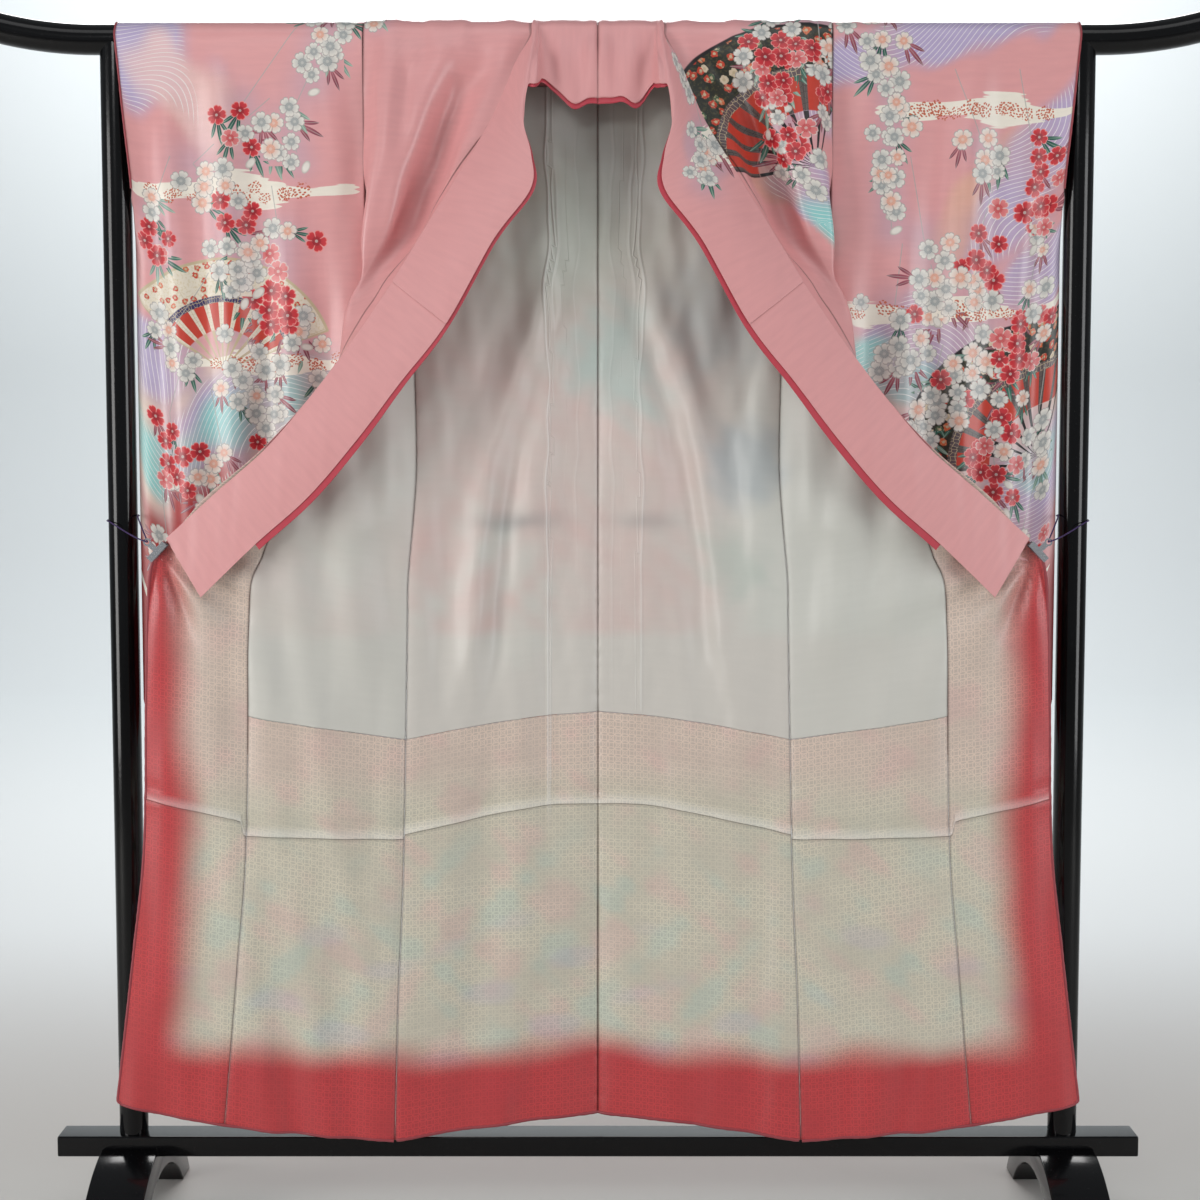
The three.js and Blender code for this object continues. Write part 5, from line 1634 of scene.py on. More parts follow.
@dataclass(frozen=True)
class SilkFinish(Shader):
    """Silk cloth: dyed, painted or woven with a figure."""

    threads: float = 1500.0
    roughness: float = 0.36
    sheen: float = 0.10
    bump: float = 0.12
    slub: float = 0.4
    colour: Optional[Colour] = None
    painted: bool = False
    figured: bool = False

    def build(self) -> Material:
        """Builds the material, with painted shade along seams and below the crease, and painted highlights on
        pressed lines and the crease's lip.

        Returns:
            The new material.
        """
        material, net, shader = self.start()
        cloth = net.node("ShaderNodeUVMap", uv_map="Cloth").outputs[0]
        weave = net.group(GROUPS["weave"], {"Cloth": cloth, "Threads": self.threads, "Slub": self.slub})
        dye = net.attribute("dye")
        base: Value = self.colour if self.colour else dye.outputs["Color"]
        if self.painted:
            base = self._print(net, cloth, dye)
        tone = net.scaled_plus(net.minus(weave.outputs["Tone"], 0.5), 0.35, 1.0)
        base = net.mix(1.0, base, net.join(tone, tone, tone), "MULTIPLY")
        seam, line, strength = net.split(net.attribute("marks").outputs["Vector"])
        # painted shade: within about 3 mm of a seam the colour is darkened towards brown, standing in for the
        # shadow in the seam's groove
        base = net.mix(net.times(net.step(seam, 3.2, 0.2), 0.62), base,
                       net.mix(0.75, base, (0.06, 0.03, 0.025)))
        height: Socket = weave.outputs["Height"]
        rough: Value = net.scaled_plus(weave.outputs["Tone"], 0.12, self.roughness - 0.06)
        if self.figured:
            figure = net.group(GROUPS["lattice"], {"Cloth": cloth}).outputs["Figure"]
            base = net.mix(net.times(figure, 0.8), base, net.mix(1.0, base, (1.36, 1.34, 1.3), "MULTIPLY"))
            rough = net.minus(rough, net.times(figure, 0.10))
            height = net.scaled_plus(figure, 0.3, height)
            across = net.split(net.attribute("crease").outputs["Vector"])[0]
            # the crease's upper lip: its colour is lightened as a painted highlight, and it also raises the
            # relief further down
            lip = net.times(net.step(across, 15.0, 1.0), net.step(across, -1.4, 0.0))
            base = net.mix(net.times(lip, 0.35), base, net.mix(0.6, base, (1.0, 0.99, 0.96)))
            # painted shadow: the colour is darkened in a narrow strip just below the crease line
            under = net.times(net.step(across, -7.0, -1.5), net.step(across, -0.2, -1.2))
            base = net.mix(net.times(under, 0.4), base, net.mix(0.6, base, (0.08, 0.06, 0.05)))
        net.put(shader.inputs["Roughness"], rough)
        shader.inputs["Sheen Weight"].default_value = self.sheen
        shader.inputs["Sheen Roughness"].default_value = 0.4
        shader.inputs["Specular IOR Level"].default_value = 0.55
        relief = net.node("ShaderNodeBump", {"Strength": self.bump, "Distance": 0.0006, "Height": height})
        # painted highlight: the colour is lightened along the middle of each pressed line, as light catching
        # its ridge
        pressed_line_highlight = net.times(net.step(net.size(line), 1.7, 0.0), strength)
        base = net.mix(net.times(pressed_line_highlight, 0.55), base, net.mix(0.6, base, (1.0, 1.0, 0.98)))
        net.put(shader.inputs["Base Color"], base)
        ridge = net.times(net.step(net.size(line), 4.0, 0.0), strength)
        pucker = net.noise(net.scaled(cloth, (60, 420, 1)), 1.0, 1.0)
        ridge = net.scaled_plus(net.times(pucker, net.step(seam, 9.0, 0.0)), 0.35, ridge)
        if self.figured:
            ridge = net.scaled_plus(lip, 1.8, ridge)
        folds = net.node("ShaderNodeBump", {"Strength": 1.0, "Distance": 0.0011, "Height": ridge,
                                            "Normal": relief.outputs[0]})
        net.put(shader.inputs["Normal"], folds.outputs[0])
        return material

    def _print(self, net: Net, cloth: Socket, dye: Node) -> Socket:
        """The painted layers over the dyed ground, from the water up to the blossoms.

        Args:
            net: The material's net.
            cloth: Places on the cloth.
            dye: The dyed ground.

        Returns:
            The colour.
        """
        phase, strength, mist = net.split(net.attribute("flow").outputs["Vector"])
        colour = dye.outputs["Color"]
        dust = net.step(net.noise(cloth, 1500.0, 1.0), 0.60, 0.66)
        dust = net.times(dust, net.times(dye.outputs["Alpha"], 0.9))
        colour = net.mix(dust, colour, srgb(188, 146, 84))
        wave = net.size(net.minus(net.math("FRACT", phase), 0.5))
        lines = net.times(net.step(wave, 0.10, 0.05), net.step(strength, 0.25, 0.6))
        colour = net.mix(net.times(lines, 0.75), colour, srgb(240, 236, 232))
        ragged = net.noise(net.scaled(cloth, (6, 170, 1)), 1.0, 1.0)
        depth = net.scaled_plus(net.minus(ragged, 0.5), 1.3, mist)
        colour = net.mix(net.step(depth, -0.02, 0.05), colour, MIST_WHITE)
        fan = net.group(GROUPS["fan"], {"Local": net.attribute("fan").outputs["Vector"]})
        colour = net.mix(fan.outputs["Mask"], colour, fan.outputs["Color"])
        for k in reversed(range(MOTIF_LAYERS)):
            motif = net.group(GROUPS["motif"], {"Local": net.attribute(f"motif_{k}").outputs["Vector"]})
            colour = net.mix(motif.outputs["Mask"], colour, motif.outputs["Color"])
        return colour


@dataclass(frozen=True)
class LacquerFinish(Shader):
    """Polished black lacquer with faint orange peel and a little dust."""

    colour: Colour = srgb(6, 6, 7)

    def build(self) -> Material:
        """Builds the material.

        Returns:
            The new material.
        """
        material, net, shader = self.start()
        place = net.node("ShaderNodeTexCoord").outputs["Object"]
        smudge = net.noise(place, 7.0, 4.0, 0.6)
        dust = net.step(net.noise(place, 420.0, 2.0), 0.66, 0.78)
        colour = net.mix(net.times(dust, 0.04), self.colour, srgb(120, 118, 116))
        colour = net.mix(net.times(smudge, 0.06), colour, srgb(40, 40, 44))
        rough = net.scaled_plus(smudge, 0.10, 0.10)
        peel = net.noise(place, 190.0, 2.0)
        self.finish(net, shader, (0.05, 0.0008, peel), Base_Color=colour, Coat_Weight=0.15,
                    Roughness=net.scaled_plus(dust, 0.25, rough), Specular_IOR_Level=0.25,
                    Coat_Roughness=0.06)
        return material


@dataclass(frozen=True)
class MetalFinish(Shader):
    """Bright plated steel with fine scratches."""

    def build(self) -> Material:
        """Builds the material."""
        material, net, shader = self.start()
        place = net.node("ShaderNodeTexCoord").outputs["Object"]
        scratch = net.noise(net.scaled(place, (260, 260, 2600)), 1.0, 3.0)
        colour = net.mix(scratch, srgb(222, 224, 228), srgb(244, 245, 247))
        self.finish(net, shader, (0.08, 0.0002, scratch), Base_Color=colour, Metallic=1.0,
                    Roughness=net.scaled_plus(scratch, 0.2, 0.14))
        return material


@dataclass(frozen=True)
class CordFinish(Shader):
    """Braided cord."""

    def build(self) -> Material:
        """Builds the material."""
        material, net, shader = self.start()
        place = net.node("ShaderNodeTexCoord").outputs["Object"]
        braid = net.noise(net.scaled(place, (900, 900, 1400), 0.6), 1.0, 1.0)
        colour = net.mix(net.step(braid, 0.35, 0.65), srgb(34, 20, 58), srgb(78, 52, 112))
        self.finish(net, shader, (0.4, 0.0003, braid), Base_Color=colour,
                    Roughness=net.scaled_plus(braid, 0.2, 0.6))
        return material


@dataclass(frozen=True)
class StageFinish(Shader):
    """Matt paint of floor and wall."""

    colour: Colour = srgb(205, 207, 208)
    floor: Colour = srgb(190, 188, 184)

    def build(self) -> Material:
        """Builds the material."""
        material, net, shader = self.start()
        place = net.node("ShaderNodeTexCoord").outputs["Object"]
        low = net.step(net.split(place)[1], 1.9, 0.2)
        net.put(shader.inputs["Base Color"], net.mix(low, self.colour, self.floor))
        shader.inputs["Roughness"].default_value = 0.75
        return material


GROUPS: dict[str, Tree] = {}


@dataclass(frozen=True)
class Finishes:
    """The materials in use."""

    printed: Material
    pink: Material
    sheer: Material
    hakkake: Material
    red: Material
    lacquer: Material
    metal: Material
    cord: Material

    def cloth(self, slot: str) -> Material:
        """The silk for a slot."""
        return {"printed_silk": self.printed, "pink_silk": self.pink, "white_silk": self.sheer,
                "jacquard": self.hakkake, "red_silk": self.red}[slot]

    @classmethod
    def build(cls) -> "Finishes":
        """Builds the shared groups, then every material.

        Returns:
            The finishes.
        """
        GROUPS.update(motif=motif_group(), fan=fan_group(), weave=weave_group(), lattice=lattice_group())
        return cls(
            printed=SilkFinish("printed_silk", painted=True).build(),
            pink=SilkFinish("pink_silk", painted=True, roughness=0.44).build(),
            sheer=SilkFinish("white_silk", roughness=0.43, bump=0.05, slub=0.15).build(),
            hakkake=SilkFinish("jacquard", roughness=0.42, figured=True, bump=0.2).build(),
            red=SilkFinish("red_silk", colour=srgb(190, 64, 78), roughness=0.45).build(),
            lacquer=LacquerFinish("lacquer").build(),
            metal=MetalFinish("clip_metal").build(),
            cord=CordFinish("cord").build(),
        )


# ---- Linings ----

@dataclass(frozen=True)
class LiningDye:
    """The lining's own colours, the print that shows through it, and painted shade on the upper lining."""

    hand: Hand
    edge_band: bool = False
    ghost: Waves = Waves(61, 0.16, 0.22)
    fine: Waves = Waves(62, 0.05, 0.07)

    def upper(self, flat: Array, p: Array) -> Array:
        """The white upper lining, pinker where the plain ground lies behind it, with painted shade that greys
        and darkens it towards the top.

        Args:
            flat: Not used.
            p: Places in space, in millimetres.

        Returns:
            The colour of each point.
        """
        x, z = p[:, 0] * MM, p[:, 2] * MM
        haze = self.ghost(x, z) + 0.4 * self.fine(x, z)
        colour = np.broadcast_to(np.asarray(SHEER_WHITE), (len(x), 3)).copy()
        pink = ease(z, 0.84, 0.865) * ease(z, 1.52, 1.2) * (0.55 + 0.2 * haze) * ease(x, 0.24, 0.1)
        pink = pink + 0.18 * ease(z, 0.865, 0.84)
        colour = mix(colour, srgb(212, 180, 174), pink * (0.35 if self.edge_band else 0.9))
        # painted shade: the lining is greyed higher up, from 1.2 m to 1.42 m, as shade deeper inside the
        # hollow
        away = ease(z, 1.2, 1.42) * (0.5 + 0.4 * haze)
        colour = mix(colour, srgb(192, 192, 180), away)
        for du, dz, half, tint in ((0.03, 1.24, 0.09, srgb(160, 200, 194)), (-0.12, 0.93, 0.06, SHEER_WHITE),
                                   (-0.13, 0.88, 0.08, SHEER_WHITE), (0.21, 1.1, 0.08, srgb(150, 166, 176)),
                                   (0.19, 0.95, 0.06, srgb(176, 190, 180)),
                                   (0.16, 1.3, 0.1, srgb(164, 176, 178)),
                                   (-0.05, 1.42, 0.12, srgb(196, 208, 196))):
            weight = ease(np.hypot(x - du, (z - dz) * 0.8) + 0.02 * haze, half, half * 0.25)
            colour = mix(colour, tint, 0.45 * weight)
        # a narrow grey band across the lining at about 1.013 m, in two places
        grey_band = bump(z - 1.013 - 0.003 * haze,
                     0.012) * (bump(x + 0.115, 0.055) + 0.7 * bump(x - 0.068, 0.042))
        # painted shade: from 1.5 m to 1.62 m the lining is darkened further, under the bar; the grey band is
        # mixed in with it
        return mix(colour, srgb(112, 116, 120), 0.42 * grey_band + 0.25 * ease(z, 1.5, 1.62))

    def hem(self, flat: Array, p: Array) -> Array:
        """The hem lining: ivory with a coral band that fades upwards and in from the front edge.

        Args:
            flat: Not used.
            p: Places in space, in millimetres.

        Returns:
            The colour of each point.
        """
        x, z = p[:, 0] * MM, p[:, 2] * MM
        haze = self.ghost(x * 1.3, z * 1.6) + 0.5 * self.fine(x, z)
        colour = np.broadcast_to(np.asarray(BEIGE), (len(x), 3)).copy()
        colour = mix(colour, srgb(204, 176, 168), ease(z, 0.60, 0.68) * 0.5)
        colour = mix(colour, srgb(206, 174, 168), 0.45 * ease(haze, 0.1, 1.2))
        colour = mix(colour, srgb(168, 190, 180), 0.4 * ease(-haze, 0.25, 1.3) * ease(z, 0.62, 0.5))
        colour = mix(colour, srgb(176, 168, 190),
                     0.25 * ease(self.ghost(z * 2, x), 0.5, 1.2) * ease(z, 0.5, 0.4))
        hem_z = 0.127 + 0.035 * np.clip(np.abs(x) / 0.6, 0, 1) + 0.026 * ease(np.abs(x), 0.2, 0.0)
        band = ease(z - hem_z + 0.006 * self.ghost(x, z), 0.135, 0.075)
        if self.edge_band:
            width = 0.062 + 0.035 * ease(z, 0.8, 0.4)
            edge = (0.632 + 0.053 * ease(z, 0.75, 0.18)) - np.abs(x)
            side = ease(edge + 0.004 * self.ghost(x, z), width + 0.02, width - 0.045)
            band = 1 - (1 - band) * (1 - side)
        return mix(colour, CORAL, band * 0.97)


# ---- Solid shapes ----

def solid(name: str, verts: Sequence, faces: Sequence, material: Material, angle: float = 40) -> Thing:
    """A mesh object with smooth faces and sharp edges over an angle.

    Args:
        name: The object's name.
        verts: Points in metres.
        faces: Corner numbers of each face.
        material: Its finish.
        angle: Edges sharper than this many degrees stay sharp.

    Returns:
        The new object.
    """
    mesh = bpy.data.meshes.new(name)
    mesh.from_pydata([tuple(v) for v in verts], [], [tuple(f) for f in faces])
    work = bmesh.new()
    work.from_mesh(mesh)
    bmesh.ops.recalc_face_normals(work, faces=work.faces)
    work.to_mesh(mesh)
    work.free()
    mesh.polygons.foreach_set("use_smooth", [True] * len(mesh.polygons))
    mesh.set_sharp_from_angle(angle=math.radians(angle))
    mesh.materials.append(material)
    return link(bpy.data.objects.new(name, mesh))


def tube(name: str, path: Array, radii: Array, sides: int, material: Material) -> Thing:
    """A round rod along a path.

    Args:
        name: The object's name.
        path: Its centre line in millimetres, one row each.
        radii: Radius at each point, in millimetres.
        sides: Sides of its section.
        material: Its finish.

    Returns:
        The new object.
    """
    tangents = np.gradient(path, axis=0)
    tangents /= np.linalg.norm(tangents, axis=1, keepdims=True)
    side = np.cross(tangents[0], (0.31, 0.42, 0.85))
    turns = np.linspace(0, 2 * math.pi, sides, endpoint=False)
    verts = []
    for centre, tangent, radius in zip(path, tangents, radii):
        side = side - tangent * (side @ tangent)
        side /= np.linalg.norm(side)
        other = np.cross(tangent, side)
        verts += [(centre + radius * (side * math.cos(a) + other * math.sin(a))) * MM for a in turns]
    faces: list = []
    for r in range(len(path) - 1):
        for k in range(sides):
            n = (k + 1) % sides
            faces.append((r * sides + k, r * sides + n, (r + 1) * sides + n, (r + 1) * sides + k))
    last = (len(path) - 1) * sides
    faces += [tuple(range(sides)), tuple(last + k for k in range(sides))]
    return solid(name, verts, faces, material, 60)


def prism(name: str, outline: Sequence, start: float, end: float, bevel: float,
          material: Material) -> Thing:
    """An outline of (y, z) points drawn out along x in millimetres, its end edges rounded.

    Args:
        name: The object's name.
        outline: The (y, z) points.
        start: First x.
        end: Last x.
        bevel: Radius of the end edges.
        material: Its finish.

    Returns:
        The new object.
    """
    n = len(outline)
    verts = [(x * MM, y * MM, z * MM) for x in (start, end) for y, z in outline]
    faces = [tuple(range(n)), tuple(range(2 * n - 1, n - 1, -1))]
    faces += [(k, (k + 1) % n, (k + 1) % n + n, k + n) for k in range(n)]
    obj = solid(name, verts, faces, material, 30)
    work = bmesh.new()
    work.from_mesh(obj.data)
    sharp = [e for e in work.edges if len(e.link_faces) == 2 and e.calc_face_angle(0) > math.radians(30)]
    bmesh.ops.bevel(work, geom=sharp, offset=bevel * MM, segments=3, profile=0.6, affect="EDGES",
                    clamp_overlap=True)
    work.to_mesh(obj.data)
    work.free()
    obj.data.polygons.foreach_set("use_smooth", [True] * len(obj.data.polygons))
    obj.data.set_sharp_from_angle(angle=math.radians(40))
    return obj


# ---- The garment ----

SHELL = (0.35, 1.0)
LINING = (-1.0, -0.35)
COVER = (1.5, 2.2)
SLEEVE_WALL = (-0.35, 0.35)
CENTRE_LAP = 0.005
COLLAR_LAP = 0.03
BACK_END, FRONT_END = BACK.last_row, FRONT.last_row


def front_limits(okumi: bool) -> tuple[Callable, Callable]:
    """The strip of the front surface that is the front panel, or the okumi; both reach under the collar."""
    def under(v: Array) -> Array:
        """How far the edge runs on behind the collar's seam."""
        return 0.035 * ease(v, 13.8, 13.0)

    if okumi:
        return okumi_seam, lambda v: 1 + under(v)
    return level(0), lambda v: okumi_seam(v) + under(v) * ease(v, 6.4, 6.1)


def sleeve_surface(cut: SleeveCut) -> Surface:
    """The sleeve's tube of cloth: front lower edge, up over the bar, and down to the back lower edge.

    Args:
        cut: The sleeve's sizes.

    Returns:
        The sleeve's surface.
    """
    shares = np.array(even(0, 0.72, 9) + [0.79, 0.85, 0.9, 0.94, 0.975, 1.0])
    levels = [1684.5, 1640, 1600, 1555, 1510, 1475, 1452, 1430, 1365, 1300, 1200, 1100, 1000, 900, 835, 770,
              715]

    def hang(level: float, face: float, shut: bool = False) -> Array:
        """One row of the hanging part."""
        foot = cut.foot(cut.inner + (cut.cuff_foot - cut.inner) * shares)
        z = BAR_Z - (BAR_Z - level) / (BAR_Z - cut.bottom) * (BAR_Z - foot)
        x = cut.inner + (cut.edge(level) - cut.inner) * shares
        return np.stack([x, face * (0.8 + 0 * x if shut else cut.depth(shares, z)), z], axis=-1)

    over = [np.array([on_bar(cut.inner + (cut.cuff_top - cut.inner) * s, turn) for s in shares])
            for turn in (150, 120, 90, 60, 30)]
    rows = [hang(cut.bottom, -1, True)] + [hang(level, -1) for level in levels[::-1]] + over
    rows += [hang(level, 1) for level in levels] + [hang(cut.bottom, 1, True)]
    return Surface(np.array(rows))


CUT = SleeveCut()
SLEEVE = sleeve_surface(CUT)


@dataclass
class Garment:
    """The kimono: every panel, lining and roll, on both sides."""

    finishes: Finishes
    bar: Thing
    step: float = 7.5
    count: int = 0

    def build(self) -> None:
        """Builds both halves."""
        for hand in Hand:
            shell = self.back(hand)
            front = self.front(hand)
            self.collar(hand, front)
            self.sleeve(hand)

    def panel(self, node: str, surface: Surface, start: float, end: float, layer: tuple[float, float],
              hand: Hand, slot: str, relief: Relief, hangs_on: Thing,
              step: Optional[float] = None, **options: object) -> Thing:
        """Args:
            node: The CAD node it stands for, without its hand.
            surface: The surface it is cut from.
            start: First row.
            end: Last row.
            layer: How far its two faces lie along the normal, in millimetres.
            hand: Which side.
            slot: Its slot, which names its finish.
            relief: Its folds.
            hangs_on: Not used.
            step: Length of a mesh face, in millimetres.
            options: More fields of Cloth.

        Returns:
            The new object.
        """
        step = step or self.step
        low, high = options.get("strip", WHOLE)
        vs = surface.rows_between(start, end, step)
        edge = np.array([1.5, 4.5]) / step
        vs = np.unique(np.concatenate([vs, np.interp(edge, np.arange(len(vs)), vs),
                                       np.interp(len(vs) - 1 - edge, np.arange(len(vs)), vs)]))
        wide = float(np.max(surface.across(high(vs), vs) - surface.across(low(vs), vs)))
        cloth = Cloth(f"{node}_cloth_{hand.word}", surface, columns(wide, step), vs, layer, hand,
                      self.finishes.cloth(slot), relief, **options)
        obj = cloth.build()
        uu, vv = np.meshgrid(cloth.us, vs)
        u = low(vv) + (high(vv) - low(vv)) * uu
        p = surface.at(u, vv)
        flat = (wide * MM, float(surface.down(vs[-1]) - surface.down(vs[0])) * MM)
        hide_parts(f"{node}_{hand.word}")
        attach(obj, BODY)
        self.count += len(obj.data.polygons)
        report(obj)
        return obj

    def back(self, hand: Hand) -> Thing:
        """The back panel, its lining and its hem lining with the padded roll.

        Args:
            hand: Which side.

        Returns:
            The shell.
        """
        art, dye = back_painting(hand), LiningDye(hand)
        shoulder = BACK.down(np.array([0.0]))[0]

        def relief(p: Array, flat: Array) -> Array:
            """The back's folds."""
            return FOLDS.back(p * (hand.value, 1, 1), flat)

        def press(p: Array) -> Array:
            """The lining's pressed lines."""
            return FOLDS.pressed_lines(p, hand)

        grooves = (5.0, 4.0)
        lapped = (level(CENTRE_LAP * hand.value), level(1))
        shell = self.panel("back", BACK, 0, BACK_END, SHELL, hand, "printed_silk", relief, self.bar,
                           strip=lapped, grooves=grooves, painting=art, top_v=shoulder)
        self.panel("back_lining", BACK, 4, BACK_HEM_LINING, LINING, hand, "white_silk", relief, shell,
                   step=5.0, grooves=grooves, dye=dye.upper, press=press)
        self.panel("back_hakkake", BACK, BACK_HEM_LINING, BACK_END, LINING, hand, "jacquard", relief,
                   shell, grooves=grooves, dye=dye.hem, press=press)
        us = np.linspace(0.003, 0.997, 60)
        self.roll("back_hem_roll", self.edge(BACK, us, BACK_END + 0 * us, relief, grooves), hand, 2.4)
        return shell

    def front(self, hand: Hand) -> Thing:
        """The front panel and okumi, their linings and the roll round hem and front edge.

        Args:
            hand: Which side.

        Returns:
            The shell.
        """
        art, relief = front_painting(hand), FOLDS.front

        body, okumi = front_limits(False), front_limits(True)
        upper, hem, edge = LiningDye(hand, True).upper, LiningDye(hand).hem, LiningDye(hand, True).hem
        grooves = (4.0, 3.0)
        shell = self.panel("front", FRONT, 0, FRONT_END, SHELL, hand, "printed_silk", relief, self.bar,
                           strip=body, grooves=grooves, painting=art, held_edge=True)
        self.panel("front_lining", FRONT, FRONT_JOIN, FRONT_HEM_LINING, LINING, hand, "white_silk", relief,
                   shell, strip=body, grooves=grooves, dye=upper, held_edge=True)
        self.panel("front_hakkake", FRONT, FRONT_HEM_LINING, FRONT_END, LINING, hand, "jacquard", relief,
                   shell, strip=body, grooves=grooves, dye=hem, held_edge=True)
        self.panel("okumi", FRONT, OKUMI_TIP_ROW + 0.1, FRONT_END, SHELL, hand, "printed_silk", relief, shell,
                   strip=okumi, grooves=(3.0, 0), painting=art, held_edge=True)
        self.panel("okumi_hakkake", FRONT, FRONT_JOIN + 3, FRONT_END, LINING, hand, "jacquard", relief,
                   shell, strip=okumi, grooves=(3.0, 0), dye=edge, held_edge=True)
        us = np.linspace(0.003, 0.985, 70)
        vs = np.linspace(FRONT_END - 0.02, FRONT_JOIN + 5.2, 150)
        u = np.concatenate([us, 0 * vs + 1])
        v = np.concatenate([FRONT_END + 0 * us, vs])
        self.roll("front_hem_roll", self.edge(FRONT, u, v, relief, (0, 0)), hand, 2.2)
        return shell

    def edge(self, surface: Surface, u: Array, v: Array, relief: Relief,
             grooves: tuple[float, float]) -> Array:
        """Points along an edge of a surface, with its folds."""
        p, n = surface.at(u, v), surface.normals(u, v)
        depth = relief(p, np.stack([surface.across(u, v), surface.down(v)], -1))
        p = p + n * depth[:, None]
        for groove, at in zip(grooves, (0, 1)):
            p[:, 1] += groove * np.exp(-np.abs(u - at) * 300 / 6)
        return p

    def roll(self, name: str, path: Array, hand: Hand, radius: float) -> Thing:
        """A padded roll of the red lining along a path."""
        steps = np.concatenate([[0], np.cumsum(np.linalg.norm(np.diff(path, axis=0), axis=1))])
        at = np.arange(0, steps[-1], 4.0)
        path = np.stack([np.interp(at, steps, path[:, k]) for k in range(3)], -1) * (hand.value, 1, 1)
        radii = radius * (1 + 0.10 * np.sin(at / 2.6) * np.sin(at / 17) + 0.05 * np.sin(at / 9))
        obj = tube(f"{name}_{hand.word}", path, radii, 10, self.finishes.red)
        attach(obj, BODY)
        report(obj)
        return obj

    def collar(self, hand: Hand, front: Thing) -> None:
        """The collar, its over-collar, and the red lining that edges it.

        Args:
            hand: Which side.
            front: The front's shell, which it is sewn to.
        """
        art, relief = collar_painting(hand), FOLDS.collar

        def ruffle(flat: Array) -> Array:
            """The wavy edge at the neck."""
            return FOLDS.neck_edge(flat, hand)

        def shows(v: Array) -> Array:
            """The lining's free edge, a little past the collar's."""
            start, grow, late = (1.028, 0.02, 0.05) if hand is Hand.LEFT else (1.03, 0.045, 0.035)
            return start + grow * ease(v, 6.5, 9) + late * ease(v, 10.5, 13.5)

        end = COLLAR.last_row
        lapped = (level(-COLLAR_LAP), level(1))
        band = self.panel("collar", COLLAR, 0, end, SHELL, hand, "pink_silk", relief, front,
                          step=5.0, painting=art, inset=0.6, strip=lapped, ruffle=ruffle)
        self.panel("over_collar", COLLAR, 0, COVER_END, COVER, hand, "pink_silk", relief, band,
                   step=5.0, painting=art, inset=0.3, strip=lapped, ruffle=ruffle)
        beyond = (level(0), shows)
        self.panel("collar_lining", COLLAR, 0, COLLAR_LINING_END, LINING, hand, "red_silk", relief, band,
                   step=5.0, strip=beyond, ruffle=ruffle)

    def sleeve(self, hand: Hand) -> None:
        """The sleeve and the piping of its wrist opening.

        Args:
            hand: Which side.
        """
        rows = SLEEVE.last_row
        shoulder = float(SLEEVE.down(np.array([rows / 2]))[0])
        self.panel("sleeve", SLEEVE, 0, rows, SLEEVE_WALL, hand, "printed_silk", FOLDS.sleeve_relief,
                   self.bar, painting=sleeve_painting(hand), top_v=shoulder, flat_sign=-1.0, closed=True,
                   grooves=(1.2, 0.6))
        v = np.linspace(0, rows, 900)
        p = SLEEVE.at(0 * v + 1, v)
        opening = v[p[:, 2] > CUT.opening_foot + 2]
        v = np.linspace(opening[0], opening[-1], 160)
        u = 0 * v + 1
        path = self.edge(SLEEVE, u, v, FOLDS.sleeve_relief, (0, 0)) + np.array([0.6, 0, 0])
        self.roll("cuff_piping", path, hand, 1.5)


# ---- The rack ----

